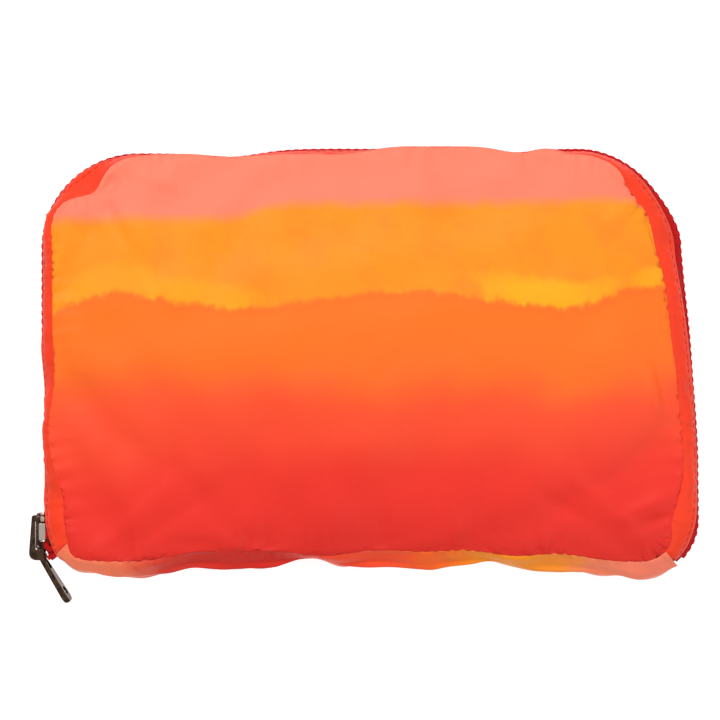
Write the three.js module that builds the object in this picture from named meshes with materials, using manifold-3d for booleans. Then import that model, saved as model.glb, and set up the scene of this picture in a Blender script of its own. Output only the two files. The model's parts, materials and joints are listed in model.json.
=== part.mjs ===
// A foldable tote bag, packed into its own zipped pouch and lying on its back.
// Millimetres, +Z up. The origin is the middle of the flat face that the pouch rests on,
// +X is to the right and +Y runs from the hinged bottom gusset to the zipped top edge.
import * as THREE from "three";
import { mergeVertices } from "three/addons/utils/BufferGeometryUtils.js";
import Module from "manifold-3d";

const wasm = await Module();
wasm.setup();

// ---- Driving dimensions ----
const OUTER_WIDTH = 230;
const OUTER_HEIGHT = 150;
const THICKNESS = 38;
const MID_Z = THICKNESS / 2;
const GAP = 0.3; // between pieces that touch

// The outline that the zipper runs along is a rectangle with a radius of its own at each corner.
const CORNERS = {
  topRight: { sx: 1, sy: 1, r: 34 },
  topLeft: { sx: -1, sy: 1, r: 34 },
  bottomLeft: { sx: -1, sy: -1, r: 14 },
  bottomRight: { sx: 1, sy: -1, r: 20 },
};
const SEAM_RIGHT_DEG = -58; // where the strips meet the gusset, on the bottom right corner
const SEAM_LEFT_DEG = 220; // and on the bottom left corner

const CLOTH = 0.9; // wall of the sewn fabric with its seam allowance
const SEAM_INSET = 4.8; // the panels' seams lie inside the zipper's outline
const SEAM_SHIFT = { x: -1.5, y: 1.2 }; // and a little to the left and up
const SEAM_Z = 12.2; // above and below the middle
const STRIP_EDGE_INSET = 1.0;
const STRIP_EDGE_Z = 6.4; // the strips stop here, so that the slider can pass

const CHAIN_INSET = 1.3; // middle of the teeth's thickness
const TEETH_HALF_THICK = 1.2;
const TEETH_INNER_Z = 1.1;
const TEETH_OUTER_Z = 3.0;
const TAPE = 0.5;

const SLIDER_Y = -59.75;
const SLIDER = { halfWidth: 4.8, back: 7.25, nose: 6.75, wing: 1.2, channel: 1.45, lip: 0.85 };
const TAB = { length: 19.4, halfWidth: 2.9, bar: 0.45, window: 6, hole: 1.1, leanDeg: 31.5 };
const PIVOT = { out: 1.8, y: -7.45 }; // the tab's bar, from the slider's middle

const COLOURS = {
  print: 0xfb6b2b,
  strip: 0xf4452b,
  zipper: 0xb3131a,
  metal: 0x4a4440,
  lining: 0xd9542f,
  handle: 0xf4452b,
};

const material = (colour, roughness = 0.8, metalness = 0) =>
  new THREE.MeshStandardMaterial({ color: colour, roughness, metalness });
const print = material(COLOURS.print, 0.6);
const strip = material(COLOURS.strip, 0.6);
const zipper = material(COLOURS.zipper, 0.7);
const gunmetal = material(COLOURS.metal, 0.3, 1);
const lining = material(COLOURS.lining, 0.7);
const webbing = material(COLOURS.handle, 0.7);

const bag = new THREE.Group();

function add(name, geometry, surface) {
  const mesh = new THREE.Mesh(geometry, surface);
  mesh.name = name;
  bag.add(mesh);
  return mesh;
}

// ---- Solids from loops of points ----

// Turns every face round if the solid came out inside out.
function facingOut(geometry) {
  const p = geometry.getAttribute("position");
  const index = geometry.index.array;
  const [a, b, c] = [new THREE.Vector3(), new THREE.Vector3(), new THREE.Vector3()];
  let volume = 0;
  for (let i = 0; i < index.length; i += 3) {
    a.fromBufferAttribute(p, index[i]);
    b.fromBufferAttribute(p, index[i + 1]);
    c.fromBufferAttribute(p, index[i + 2]);
    volume += a.dot(b.cross(c));
  }
  if (volume < 0) {
    for (let i = 0; i < index.length; i += 3) {
      [index[i + 1], index[i + 2]] = [index[i + 2], index[i + 1]];
    }
  }
  geometry.computeVertexNormals();
  return geometry;
}

function geometryOf(points, faces) {
  const geometry = new THREE.BufferGeometry().setFromPoints(points);
  geometry.setIndex(faces.flat());
  return facingOut(geometry);
}

// Joins each loop of points to the next, and leaves the two ends open.
function loopFaces(loops, count) {
  const faces = [];
  for (let i = 0; i < loops - 1; i++) {
    for (let j = 0; j < count; j++) {
      const [a, b] = [i * count + j, i * count + ((j + 1) % count)];
      faces.push([a, b, b + count], [a, b + count, a + count]);
    }
  }
  return faces;
}

// Triangles that fill a loop, all turned the way the loop runs.
function capFaces(contour) {
  const way = Math.sign(THREE.ShapeUtils.area(contour));
  return THREE.ShapeUtils.triangulateShape([...contour], []).map((face) => {
    const same = Math.sign(THREE.ShapeUtils.area(face.map((i) => contour[i]))) === way;
    return same ? face : face.toReversed();
  });
}

// A section of points { inset, z, lean } carried along stations, with a cap at each end.
// Lean is the share of the seams' sideways shift that the point takes.
function sweep(stations, section) {
  const n = section.length;
  const points = stations.flatMap((s) =>
    section.map(({ inset, z, lean = 0 }) => {
      const x = s.x - s.nx * inset + lean * SEAM_SHIFT.x;
      const y = s.y - s.ny * inset + lean * SEAM_SHIFT.y;
      return new THREE.Vector3(x, y, MID_Z + z);
    }),
  );
  const cap = capFaces(section.map((p) => new THREE.Vector2(p.inset, p.z)));
  const last = (stations.length - 1) * n;
  const ends = cap.flatMap(([a, b, c]) => [
    [c, b, a],
    [last + a, last + b, last + c],
  ]);
  return geometryOf(points, [...loopFaces(stations.length, n), ...ends]);
}

// The section of a band whose outer side is the line given, from its lower end to its upper end.
function ribbon(line, thickness) {
  const inner = line.map((p, i) => {
    const from = line[Math.max(0, i - 1)];
    const to = line[Math.min(line.length - 1, i + 1)];
    const run = Math.hypot(to.inset - from.inset, to.z - from.z);
    const [u, v] = [(to.inset - from.inset) / run, (to.z - from.z) / run];
    return { ...p, inset: p.inset + v * thickness, z: p.z - u * thickness };
  });
  return [...line, ...inner.reverse()];
}

// ---- The outline ----
function centreOf({ sx, sy, r }) {
  return { x: sx * (OUTER_WIDTH / 2 - r), y: sy * (OUTER_HEIGHT / 2 - r) };
}

function arc(corner, fromDeg, toDeg, steps) {
  const c = centreOf(corner);
  return Array.from({ length: steps + 1 }, (_, i) => {
    const a = THREE.MathUtils.degToRad(fromDeg + ((toDeg - fromDeg) * i) / steps);
    const [nx, ny] = [Math.cos(a), Math.sin(a)];
    return { x: c.x + corner.r * nx, y: c.y + corner.r * ny, nx, ny };
  });
}

const LEFT = -OUTER_WIDTH / 2;
const onLeft = (y) => ({ x: LEFT, y, nx: -1, ny: 0 });

// From a point of the bottom right corner, round the top, and down the left side to the end given.
function zipRun(startDeg, end) {
  return [
    ...arc(CORNERS.bottomRight, startDeg, 0, 4),
    ...arc(CORNERS.topRight, 0, 90, 7),
    ...arc(CORNERS.topLeft, 90, 180, 7),
    ...end,
  ];
}
const wholeBand = zipRun(SEAM_RIGHT_DEG, arc(CORNERS.bottomLeft, 180, SEAM_LEFT_DEG, 3));
const gussetRun = [
  ...arc(CORNERS.bottomLeft, SEAM_LEFT_DEG + 4, 270, 4),
  ...arc(CORNERS.bottomRight, 270, 360 + SEAM_RIGHT_DEG - 4, 3),
];

// The closed seam outline: the corners, and points along the sides so that a dome over it is smooth.
function seamLoop() {
  const corners = [
    [CORNERS.bottomRight, -90, 0, 4],
    [CORNERS.topRight, 0, 90, 6],
    [CORNERS.topLeft, 90, 180, 6],
    [CORNERS.bottomLeft, 180, 270, 4],
  ].map(([corner, from, to, steps]) => arc(corner, from, to, steps));
  const sides = [3, 5, 3, 6]; // steps along the right, top, left and bottom sides
  return corners.flatMap((points, i) => {
    const next = corners[(i + 1) % 4][0];
    const last = points[points.length - 1];
    const between = Array.from({ length: sides[i] - 1 }, (_, k) => {
      const t = (k + 1) / sides[i];
      return { ...last, x: last.x + (next.x - last.x) * t, y: last.y + (next.y - last.y) * t };
    });
    return [...points, ...between];
  });
}

// ---- Panels: domes over the seam outline ----

// Rings of (share of the outline's size, z) from the middle outside, over the rim, to the middle inside.
function dome(outside, inside) {
  const rim = seamLoop().map((s) => ({
    x: s.x - s.nx * SEAM_INSET,
    y: s.y - s.ny * SEAM_INSET,
  }));
  const rings = [...outside, ...inside];
  const [top, bottom] = [rings[0], rings[rings.length - 1]];
  const n = rim.length;
  const points = rings
    .slice(1, -1)
    .flatMap(([k, z]) =>
      rim.map((p) => new THREE.Vector3(p.x * k + SEAM_SHIFT.x, p.y * k + SEAM_SHIFT.y, z)),
    );
  const loops = rings.length - 2;
  const faces = loopFaces(loops, n);
  const [first, second] = [points.length, points.length + 1];
  points.push(new THREE.Vector3(SEAM_SHIFT.x, SEAM_SHIFT.y, top[1]));
  points.push(new THREE.Vector3(SEAM_SHIFT.x, SEAM_SHIFT.y, bottom[1]));
  for (let j = 0; j < n; j++) {
    const k = (j + 1) % n;
    faces.push([first, k, j]);
    faces.push([second, (loops - 1) * n + j, (loops - 1) * n + k]);
  }
  return geometryOf(points, faces);
}

const RIM_Z = SEAM_Z + GAP; // the panel's rim sits on the strip's edge
const CROWN_STEPS = [0, 0.35, 0.6, 0.78, 0.9, 0.97, 1];
const CROWN_RISE = MID_Z - RIM_Z - 1;
const PANEL_THICK = 1;

function frontPanel() {
  const rise = (k) => Math.sqrt(1 - k ** 4);
  const rim = MID_Z + RIM_Z;
  const outside = CROWN_STEPS.map((k) => [k, rim + PANEL_THICK + CROWN_RISE * rise(k)]);
  const inside = CROWN_STEPS.map((k) => [k * 0.985, rim + CROWN_RISE * rise(k)]).reverse();
  return dome(outside, inside);
}

// The back is flat where it rests, and rolls up to its seam.
const REST_SHARE = 0.82;
const ROLL_STEPS = [0.82, 0.9, 0.96, 1];

function backPanel() {
  const rimLow = MID_Z - RIM_Z - PANEL_THICK;
  const roll = (k) => {
    const u = (k - REST_SHARE) / (1 - REST_SHARE);
    return rimLow * (1 - Math.sqrt(1 - u * u));
  };
  const outside = [[0, 0], ...ROLL_STEPS.map((k) => [k, roll(k)])];
  const inside = [
    ...ROLL_STEPS.map((k) => [k * 0.985, roll(k) + PANEL_THICK]).reverse(),
    [0, PANEL_THICK],
  ];
  return dome(outside, inside);
}

// ---- Walls between the panels ----

// Everything on the back half is the front half's section turned over.
const flipped = (section) => section.map((p) => ({ ...p, z: -p.z })).reverse();

const stripLine = [
  { inset: STRIP_EDGE_INSET, z: STRIP_EDGE_Z, lean: 0 },
  { inset: SEAM_INSET, z: SEAM_Z, lean: 1 },
];
const stripSection = ribbon(stripLine, CLOTH);

const tapeInset = CHAIN_INSET - TAPE / 2;
const tapeSection = [
  { inset: tapeInset, z: TEETH_OUTER_Z + GAP },
  { inset: tapeInset, z: STRIP_EDGE_Z - 1.2 },
  { inset: tapeInset + 1.5, z: STRIP_EDGE_Z - 0.3 },
  { inset: tapeInset + 3.2, z: STRIP_EDGE_Z + 2.6, lean: 0.5 },
  { inset: tapeInset + 3.7, z: STRIP_EDGE_Z + 2.4, lean: 0.5 },
  { inset: tapeInset + 2.0, z: STRIP_EDGE_Z - 0.6 },
  { inset: tapeInset + TAPE, z: STRIP_EDGE_Z - 1.5 },
  { inset: tapeInset + TAPE, z: TEETH_OUTER_Z + GAP },
];

const teethSection = [
  { inset: CHAIN_INSET - TEETH_HALF_THICK, z: TEETH_INNER_Z },
  { inset: CHAIN_INSET - TEETH_HALF_THICK, z: TEETH_OUTER_Z - 0.4 },
  { inset: CHAIN_INSET - TEETH_HALF_THICK + 0.4, z: TEETH_OUTER_Z },
  { inset: CHAIN_INSET + TEETH_HALF_THICK - 0.4, z: TEETH_OUTER_Z },
  { inset: CHAIN_INSET + TEETH_HALF_THICK, z: TEETH_OUTER_Z - 0.4 },
  { inset: CHAIN_INSET + TEETH_HALF_THICK, z: TEETH_INNER_Z },
];

// The binding wraps the seam allowance just inside each panel's rim.
const BINDING = { near: 7, far: 10.5, thick: 1.1 };
const bindingSection = [
  { inset: BINDING.near, z: SEAM_Z - GAP, lean: 1 },
  { inset: BINDING.far, z: SEAM_Z - GAP, lean: 1 },
  { inset: BINDING.far, z: SEAM_Z - GAP - BINDING.thick, lean: 1 },
  { inset: BINDING.near, z: SEAM_Z - GAP - BINDING.thick, lean: 1 },
];

// The rows of teeth: one goes round from the bottom right corner, one runs down the left side.
const CHAIN_START_DEG = -40;
const LEFT_TOP_Y = OUTER_HEIGHT / 2 - CORNERS.topLeft.r;
const FRONT_CHAIN_END_Y = SLIDER_Y + SLIDER.back + 0.8;
const BACK_CHAIN_END_Y = SLIDER_Y - 2;
const leftRun = (endY) => [onLeft(LEFT_TOP_Y - 0.3), onLeft(0), onLeft(endY)];

function halfCase(side, turn) {
  const endY = side === "front" ? FRONT_CHAIN_END_Y : BACK_CHAIN_END_Y;
  const tape = turn(tapeSection);
  const teeth = turn(teethSection);
  const tapeRun = zipRun(CHAIN_START_DEG - 12, [onLeft(endY)]);
  add(`${side}_zip_strip`, sweep(wholeBand, turn(stripSection)), strip);
  add(`${side}_seam_binding`, sweep(wholeBand, turn(bindingSection)), lining);
  add(`${side}_zipper_tape`, sweep(tapeRun, tape), zipper);
  add(`${side}_teeth_round`, sweep(zipRun(CHAIN_START_DEG, []), teeth), zipper);
  add(`${side}_teeth_left`, sweep(leftRun(endY), teeth), zipper);
  add(`${side}_tape_end`, sweep(arc(CORNERS.bottomLeft, 205, SEAM_LEFT_DEG - 2, 2), tape), zipper);
  add(`${side}_top_stop`, sweep(arc(CORNERS.bottomLeft, 209, 216, 1), teeth), zipper);
}

// The gusset is one bowed band from the front panel's seam to the back panel's.
const gussetLine = [-1, -0.5, 0, 0.5, 1].map((t) => ({
  inset: 0.4 + (SEAM_INSET - 0.4) * t * t,
  z: SEAM_Z * t,
  lean: t * t,
}));

// ---- The folded tote inside ----
function roundedRectangle(width, height, radius) {
  const [x, y] = [width / 2, height / 2];
  const shape = new THREE.Shape();
  shape.moveTo(-x + radius, -y);
  shape.lineTo(x - radius, -y);
  shape.absarc(x - radius, -y + radius, radius, -Math.PI / 2, 0);
  shape.lineTo(x, y - radius);
  shape.absarc(x - radius, y - radius, radius, 0, Math.PI / 2);
  shape.lineTo(-x + radius, y);
  shape.absarc(-x + radius, y - radius, radius, Math.PI / 2, Math.PI);
  shape.lineTo(-x, -y + radius);
  shape.absarc(-x + radius, -y + radius, radius, Math.PI, 1.5 * Math.PI);
  return shape;
}

// A pack of folded cloth: a slab with soft edges.
function pack(width, depth, height, radius) {
  const bevel = Math.min(1, height / 3);
  const geometry = new THREE.ExtrudeGeometry(
    roundedRectangle(width - 2 * bevel, depth - 2 * bevel, radius),
    {
      depth: height - 2 * bevel,
      bevelEnabled: true,
      bevelThickness: bevel,
      bevelSize: bevel,
      bevelSegments: 1,
      curveSegments: 3,
    },
  );
  return geometry.translate(0, 0, bevel);
}

// From the bottom of the stack to the top: name, width, depth, height, x and y of the middle.
const PACKS = [
  ["tote_back_body", 190, 118, 6.6, 0, 0],
  ["tote_side_gusset_left", 98, 120, 4.6, -52, 0],
  ["tote_side_gusset_right", 98, 120, 4.6, 52, 0],
  ["tote_base_panel", 200, 122, 3.2, 0, 0],
  ["tote_front_body", 204, 126, 6.4, 0, 0],
  ["tote_top_hem", 196, 118, 2.8, 0, 0],
];
const PACK_FLOOR = PANEL_THICK + 0.5;
const PACK_RADIUS = 18;

function foldedTote() {
  let z = PACK_FLOOR;
  let row = z;
  for (const [name, width, depth, height, x, y] of PACKS) {
    const beside = name === "tote_side_gusset_right";
    if (!beside) row = z;
    const surface = name === "tote_base_panel" ? lining : print;
    add(name, pack(width, depth, height, PACK_RADIUS), surface).position.set(x, y, row);
    if (!beside) z = row + height + GAP;
  }
  return z;
}

// A strap folded back and forth on itself, lying flat: round folds at its two ends.
const HANDLE = { length: 160, width: 30, height: 4.4, spacing: 36 };

function foldedStrap() {
  const { length, width, height } = HANDLE;
  const shape = roundedRectangle(length, height, height / 2 - 0.01);
  const geometry = new THREE.ExtrudeGeometry(shape, {
    depth: width,
    bevelEnabled: false,
    curveSegments: 3,
  });
  return geometry.rotateX(Math.PI / 2).translate(0, width / 2, height / 2);
}

// ---- Joining and cutting ----
function manifoldOf(geometry) {
  const bare = geometry.clone();
  bare.deleteAttribute("normal");
  bare.deleteAttribute("uv");
  const merged = mergeVertices(bare, 1e-3);
  return new wasm.Manifold(
    new wasm.Mesh({
      numProp: 3,
      vertProperties: new Float32Array(merged.getAttribute("position").array),
      triVerts: new Uint32Array(merged.index.array),
    }),
  );
}

function geometryFrom(solid) {
  const mesh = solid.getMesh();
  const geometry = new THREE.BufferGeometry();
  geometry.setAttribute("position", new THREE.BufferAttribute(mesh.vertProperties, 3));
  geometry.setIndex(new THREE.BufferAttribute(mesh.triVerts, 1));
  geometry.computeVertexNormals();
  return geometry;
}

const box = (w, h, d, x, y, z) => manifoldOf(new THREE.BoxGeometry(w, h, d).translate(x, y, z));

function prism(points, depth) {
  const shape = new THREE.Shape(points.map(([x, y]) => new THREE.Vector2(x, y)));
  const geometry = new THREE.ExtrudeGeometry(shape, { depth, bevelEnabled: false });
  return geometry.translate(0, 0, -depth / 2);
}

// ---- Slider: local +X points out of the pouch, +Y along the chain, the origin in the channel ----
function sliderBody() {
  const { halfWidth: w, back, nose, wing, channel, lip } = SLIDER;
  const plan = [
    [3.6, back],
    [w, back - 0.85],
    [w, -2.4],
    [2.4, -nose + 0.75],
    [1.2, -nose],
  ];
  const mirrored = plan.map(([z, y]) => [-z, y]).reverse();
  const plate = manifoldOf(prism([...plan, ...mirrored], wing).rotateY(Math.PI / 2));
  const away = channel + wing / 2;
  let body = plate.translate([away, 0, 0]).add(plate.translate([-away, 0, 0]));
  body = body.add(box(2 * away, 3.4, 1.5, 0, -4.6, 0)); // the post that parts the teeth
  for (const x of [channel - lip / 2, lip / 2 - channel]) {
    for (const z of [w - 0.55, 0.55 - w]) {
      body = body.add(box(lip + 0.04, 8.6, 1.1, x, 2, z));
    }
  }
  return geometryFrom(body);
}

// The cover over the slider's face: a bridge whose foot turns in under the nose and carries the tab.
function sliderCrown() {
  const low = SLIDER.channel + SLIDER.wing + GAP;
  const [high, bar, foot] = [5.8, 1.4, -9.4];
  const side = new THREE.Shape();
  side.moveTo(low, 6.2);
  side.lineTo(high - 1.4, 6.2);
  side.quadraticCurveTo(high, 6.2, high, 4.8);
  side.lineTo(high, foot + 2.8);
  side.quadraticCurveTo(high, foot, high - 2.8, foot);
  side.lineTo(-0.5, foot);
  side.lineTo(-0.5, -SLIDER.nose - GAP);
  side.lineTo(0.6, -SLIDER.nose - GAP);
  side.lineTo(0.6, foot + 1.2);
  side.lineTo(high - bar - 1.5, foot + 1.2);
  side.quadraticCurveTo(high - bar, foot + 1.2, high - bar, foot + 2.7);
  side.lineTo(high - bar, 3.6);
  side.lineTo(low, 3.6);
  const options = { depth: 2.2, bevelEnabled: false, curveSegments: 4 };
  return new THREE.ExtrudeGeometry(side, options).translate(0, 0, -1.1);
}

// The tab hangs on the foot by its bar. It thickens along its length and has an eye near its end.
function pullTab() {
  const { length: end, halfWidth: w, bar, window: open } = TAB;
  const side = new THREE.Shape();
  side.moveTo(-bar, bar);
  side.lineTo(bar, bar);
  side.lineTo(0.9, -open);
  side.lineTo(1.3, -end + 1.4);
  side.quadraticCurveTo(1.2, -end, 0, -end);
  side.quadraticCurveTo(-1.2, -end, -1.3, -end + 1.4);
  side.lineTo(-0.9, -open);
  const options = { depth: 2 * w, bevelEnabled: false, curveSegments: 4 };
  const body = manifoldOf(new THREE.ExtrudeGeometry(side, options).translate(0, 0, -w));
  const opening = box(8, open - bar, 3, 0, -(open + bar) / 2, 0);
  const eye = new THREE.CylinderGeometry(TAB.hole, TAB.hole, 8, 12).rotateZ(Math.PI / 2);
  const cut = body.subtract(opening).subtract(manifoldOf(eye).translate([0, -end + 3.6, 0]));
  const lean = THREE.MathUtils.degToRad(-TAB.leanDeg);
  return geometryFrom(cut).rotateZ(lean).translate(PIVOT.out, PIVOT.y, 0);
}

// ---- Assembly ----
for (const [side, turn] of [
  ["front", (section) => section],
  ["back", flipped],
]) {
  halfCase(side, turn);
}
add("front_panel", frontPanel(), print);
add("back_panel", backPanel(), print);
add("bottom_gusset", sweep(gussetRun, ribbon(gussetLine, CLOTH)), print);

const strapZ = foldedTote();
for (const [name, y] of [
  ["carry_strap_front", HANDLE.spacing / 2],
  ["carry_strap_back", -HANDLE.spacing / 2],
]) {
  add(name, foldedStrap(), webbing).position.set(SEAM_SHIFT.x, y, strapZ);
}

const sliderPlace = new THREE.Vector3(LEFT + CHAIN_INSET, SLIDER_Y, MID_Z);
for (const [name, geometry] of [
  ["slider_body", sliderBody()],
  ["slider_crown", sliderCrown()],
  ["pull_tab", pullTab()],
]) {
  const mesh = add(name, geometry, gunmetal);
  mesh.rotation.y = Math.PI;
  mesh.position.copy(sliderPlace);
}

export default bag;
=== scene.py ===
"""Looks of the foldable tote bag, packed into its own zipped pouch. Metres, in the frame of the CAD."""

import json
import math

import bmesh
import bpy
import numpy as np
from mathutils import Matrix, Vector

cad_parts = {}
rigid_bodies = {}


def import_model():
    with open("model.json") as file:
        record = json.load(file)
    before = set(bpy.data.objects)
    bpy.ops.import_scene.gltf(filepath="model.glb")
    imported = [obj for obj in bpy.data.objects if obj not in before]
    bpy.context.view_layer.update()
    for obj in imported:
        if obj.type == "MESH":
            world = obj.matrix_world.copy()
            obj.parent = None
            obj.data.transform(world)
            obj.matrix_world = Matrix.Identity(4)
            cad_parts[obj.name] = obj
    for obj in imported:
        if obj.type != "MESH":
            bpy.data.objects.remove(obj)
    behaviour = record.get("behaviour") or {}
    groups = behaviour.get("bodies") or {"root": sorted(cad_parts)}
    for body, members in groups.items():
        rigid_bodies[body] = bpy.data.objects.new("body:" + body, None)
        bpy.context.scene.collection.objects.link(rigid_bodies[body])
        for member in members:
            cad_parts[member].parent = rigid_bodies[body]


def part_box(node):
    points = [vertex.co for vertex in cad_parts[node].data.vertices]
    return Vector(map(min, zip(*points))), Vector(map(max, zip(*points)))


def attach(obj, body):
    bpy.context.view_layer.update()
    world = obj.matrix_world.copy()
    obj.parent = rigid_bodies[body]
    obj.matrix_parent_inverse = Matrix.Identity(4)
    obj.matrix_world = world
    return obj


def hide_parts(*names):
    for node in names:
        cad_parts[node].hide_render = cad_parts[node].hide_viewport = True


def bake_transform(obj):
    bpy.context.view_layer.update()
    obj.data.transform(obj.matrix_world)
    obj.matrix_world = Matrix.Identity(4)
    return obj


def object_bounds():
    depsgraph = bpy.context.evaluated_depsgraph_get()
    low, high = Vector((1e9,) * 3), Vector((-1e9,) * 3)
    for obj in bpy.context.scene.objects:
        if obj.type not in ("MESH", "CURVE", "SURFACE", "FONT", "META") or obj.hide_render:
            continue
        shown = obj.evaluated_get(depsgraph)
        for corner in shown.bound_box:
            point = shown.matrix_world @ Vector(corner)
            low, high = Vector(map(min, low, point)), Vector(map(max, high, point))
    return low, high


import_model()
cad_low, cad_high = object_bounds()
MM = 0.001

# ---- The pouch's outline, as in the CAD ----
HALF_W, HALF_H = 115 * MM, 75 * MM
MID_Z = 19 * MM
RADII = {"tr": 34 * MM, "tl": 34 * MM, "bl": 14 * MM, "br": 20 * MM}
SEAM_RIGHT = -58  # degrees on the bottom right corner where the strips meet the gusset
SEAM_LEFT = 220  # and on the bottom left corner
SEAM_INSET = 4.8 * MM
SEAM_SHIFT = np.array([-1.5, 1.2]) * MM
SEAM_RISE = 11.2 * MM  # of each panel's seam from the middle
EDGE_INSET = 1.0 * MM  # the strips' folded edges
EDGE_RISE = 6.2 * MM
CHAIN_INSET = 1.3 * MM
LEAN = 6.0 * MM  # the right side leans in towards the top
SAG = 3.4 * MM  # the bottom gusset is drawn up between its corners


def smooth(t):
    t = np.clip(t, 0, 1)
    return t * t * (3 - 2 * t)


def outline():
    """The zipper's line: points and outward normals, anticlockwise from the middle of the bottom."""
    points, normals = [], []

    def line(a, b, n):
        for t in np.linspace(0, 1, max(2, int(np.hypot(*np.subtract(b, a)) / (0.5 * MM))))[:-1]:
            points.append(np.add(a, np.subtract(b, a) * t))
            normals.append(n)

    def corner(cx, cy, r, start):
        for t in np.linspace(start, start + 90, int(r * math.pi / 2 / (0.5 * MM)))[:-1]:
            n = (math.cos(math.radians(t)), math.sin(math.radians(t)))
            points.append(np.array([cx + r * n[0], cy + r * n[1]]))
            normals.append(n)

    w, h = HALF_W, HALF_H
    tr, tl, bl, br = (RADII[k] for k in ("tr", "tl", "bl", "br"))
    line((0, -h), (w - br, -h), (0, -1))
    corner(w - br, br - h, br, -90)
    line((w, br - h), (w, h - tr), (1, 0))
    corner(w - tr, h - tr, tr, 0)
    line((w - tr, h), (tl - w, h), (0, 1))
    corner(tl - w, h - tl, tl, 90)
    line((-w, h - tl), (-w, bl - h), (-1, 0))
    corner(bl - w, bl - h, bl, 180)
    line((bl - w, -h), (0, -h), (0, -1))
    return np.array(points), np.array(normals, float)


def closed(line):
    return np.vstack([line, line[:1]])


def run_of(line):
    """The length along a line at each of its points."""
    return np.concatenate([[0], np.cumsum(np.linalg.norm(np.diff(line, axis=0), axis=1))])


OUT_P, OUT_N = outline()
OUT_S = run_of(closed(OUT_P))
LENGTH = OUT_S[-1]


def read(s, lengths, line):
    """Points of a line at lengths s along it."""
    return np.stack([np.interp(s, lengths, column) for column in line.T], axis=-1)


def unit(v):
    return v / np.linalg.norm(v, axis=-1, keepdims=True)


def at(s):
    """Points and normals of the outline at lengths s along it."""
    s = np.mod(s, LENGTH)
    return read(s, OUT_S, closed(OUT_P)), unit(read(s, OUT_S, closed(OUT_N)))


def s_near(x, y):
    """The length along the outline of its point nearest to (x, y)."""
    return OUT_S[np.argmin(np.hypot(OUT_P[:, 0] - x, OUT_P[:, 1] - y))]


def on_corner(key, deg):
    """The length along the outline where a round corner faces a direction."""
    r, a = RADII[key], math.radians(deg)
    cx = (HALF_W - r) * (1 if key[1] == "r" else -1)
    cy = (HALF_H - r) * (1 if key[0] == "t" else -1)
    return s_near(cx + r * math.cos(a), cy + r * math.sin(a))


S_RIGHT = on_corner("br", SEAM_RIGHT)
S_LEFT = on_corner("bl", SEAM_LEFT)

# Where the panel's seam runs further in than elsewhere, by how many millimetres, and over what length.
SEAM_CUTS = [
    (on_corner("tl", 129), 6.2, 10.5),
    (on_corner("tl", 158), -1.5, 10),
    (s_near(-58 * MM, HALF_H), -2.4, 24),
    (on_corner("tr", 38), 4.3, 8),
    (on_corner("tr", 5), 4.2, 14),
    (s_near(HALF_W, 12 * MM), 1.4, 20),
    (on_corner("br", -8), 4.0, 11),
    (on_corner("bl", 200), 4.9, 13),
    (s_near(-HALF_W, -50 * MM), 1.6, 10),
    (s_near(-HALF_W, -25 * MM), -3.3, 16),
]


def settle(p):
    """The sewn cloth is less regular than its pattern: it leans, and is drawn up at the bottom."""
    p = np.array(p, float)
    x, y = p[..., 0], p[..., 1]
    lean = smooth((x - 30 * MM) / (70 * MM)) * np.clip((y + 35 * MM) / (75 * MM), 0, 1) ** 1.3
    left = smooth((-x - 85 * MM) / (25 * MM)) * smooth((14 * MM - y) / (26 * MM))
    left = left * smooth((y + 58 * MM) / (14 * MM))
    middle = smooth((x + 86 * MM) / (34 * MM)) * smooth((92 * MM - x) / (40 * MM))
    wave = 1 + 0.22 * np.sin(x / (11 * MM)) + 0.16 * np.sin(x / (5.3 * MM) + 1.3)
    slope = smooth((-x - 30 * MM) / (50 * MM)) * smooth(y / HALF_H)
    top = smooth((x - 30 * MM) / (60 * MM)) * smooth((y - 40 * MM) / (22 * MM))
    p[..., 0] = x - LEAN * lean - 3.2 * MM * top + 1.8 * MM * left
    dips = 2.3 * np.exp(-(((x / MM + 49) / 15) ** 2)) + 2.0 * np.exp(-(((x / MM - 51) / 9) ** 2))
    slope = slope + dips / 1.6 * smooth((y - 55 * MM) / (14 * MM))
    low = smooth((-y - 35 * MM) / (38 * MM))
    p[..., 1] = y - 1.6 * MM * slope + SAG * middle * wave * low
    return p


# ---- The pouch as one closed cloth ----
NU, NV = ((92, 60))  # cells of a panel, and its rim runs round them
RIM = 2 * (NU + NV)
ROWS = 12  # of the wall, from the front seam to the back seam
FRONT_EDGE, BACK_EDGE = 4, 8


def rim_cells():
    """The panel's rim as grid places (i, j), anticlockwise from the middle of the bottom."""
    low = [(i, 0) for i in range(NU // 2, NU)]
    right = [(NU, j) for j in range(NV)]
    top = [(i, NV) for i in range(NU, 0, -1)]
    left = [(0, j) for j in range(NV, 0, -1)]
    return low + right + top + left + [(i, 0) for i in range(NU // 2)]


CELLS = rim_cells()


def rim_lengths():
    """The outline length of each rim place: the grid's corners go on the round corners."""
    turns = [on_corner(*corner) for corner in (("br", -45), ("tr", 45), ("tl", 157), ("bl", 225))]
    ends = [0.0, *turns, LENGTH]
    counts = [NU // 2, NV, NU, NV, NU // 2]
    return np.concatenate([np.linspace(a, b, n + 1)[:-1] for a, b, n in zip(ends, ends[1:], counts)])


RIM_S = rim_lengths()


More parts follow.
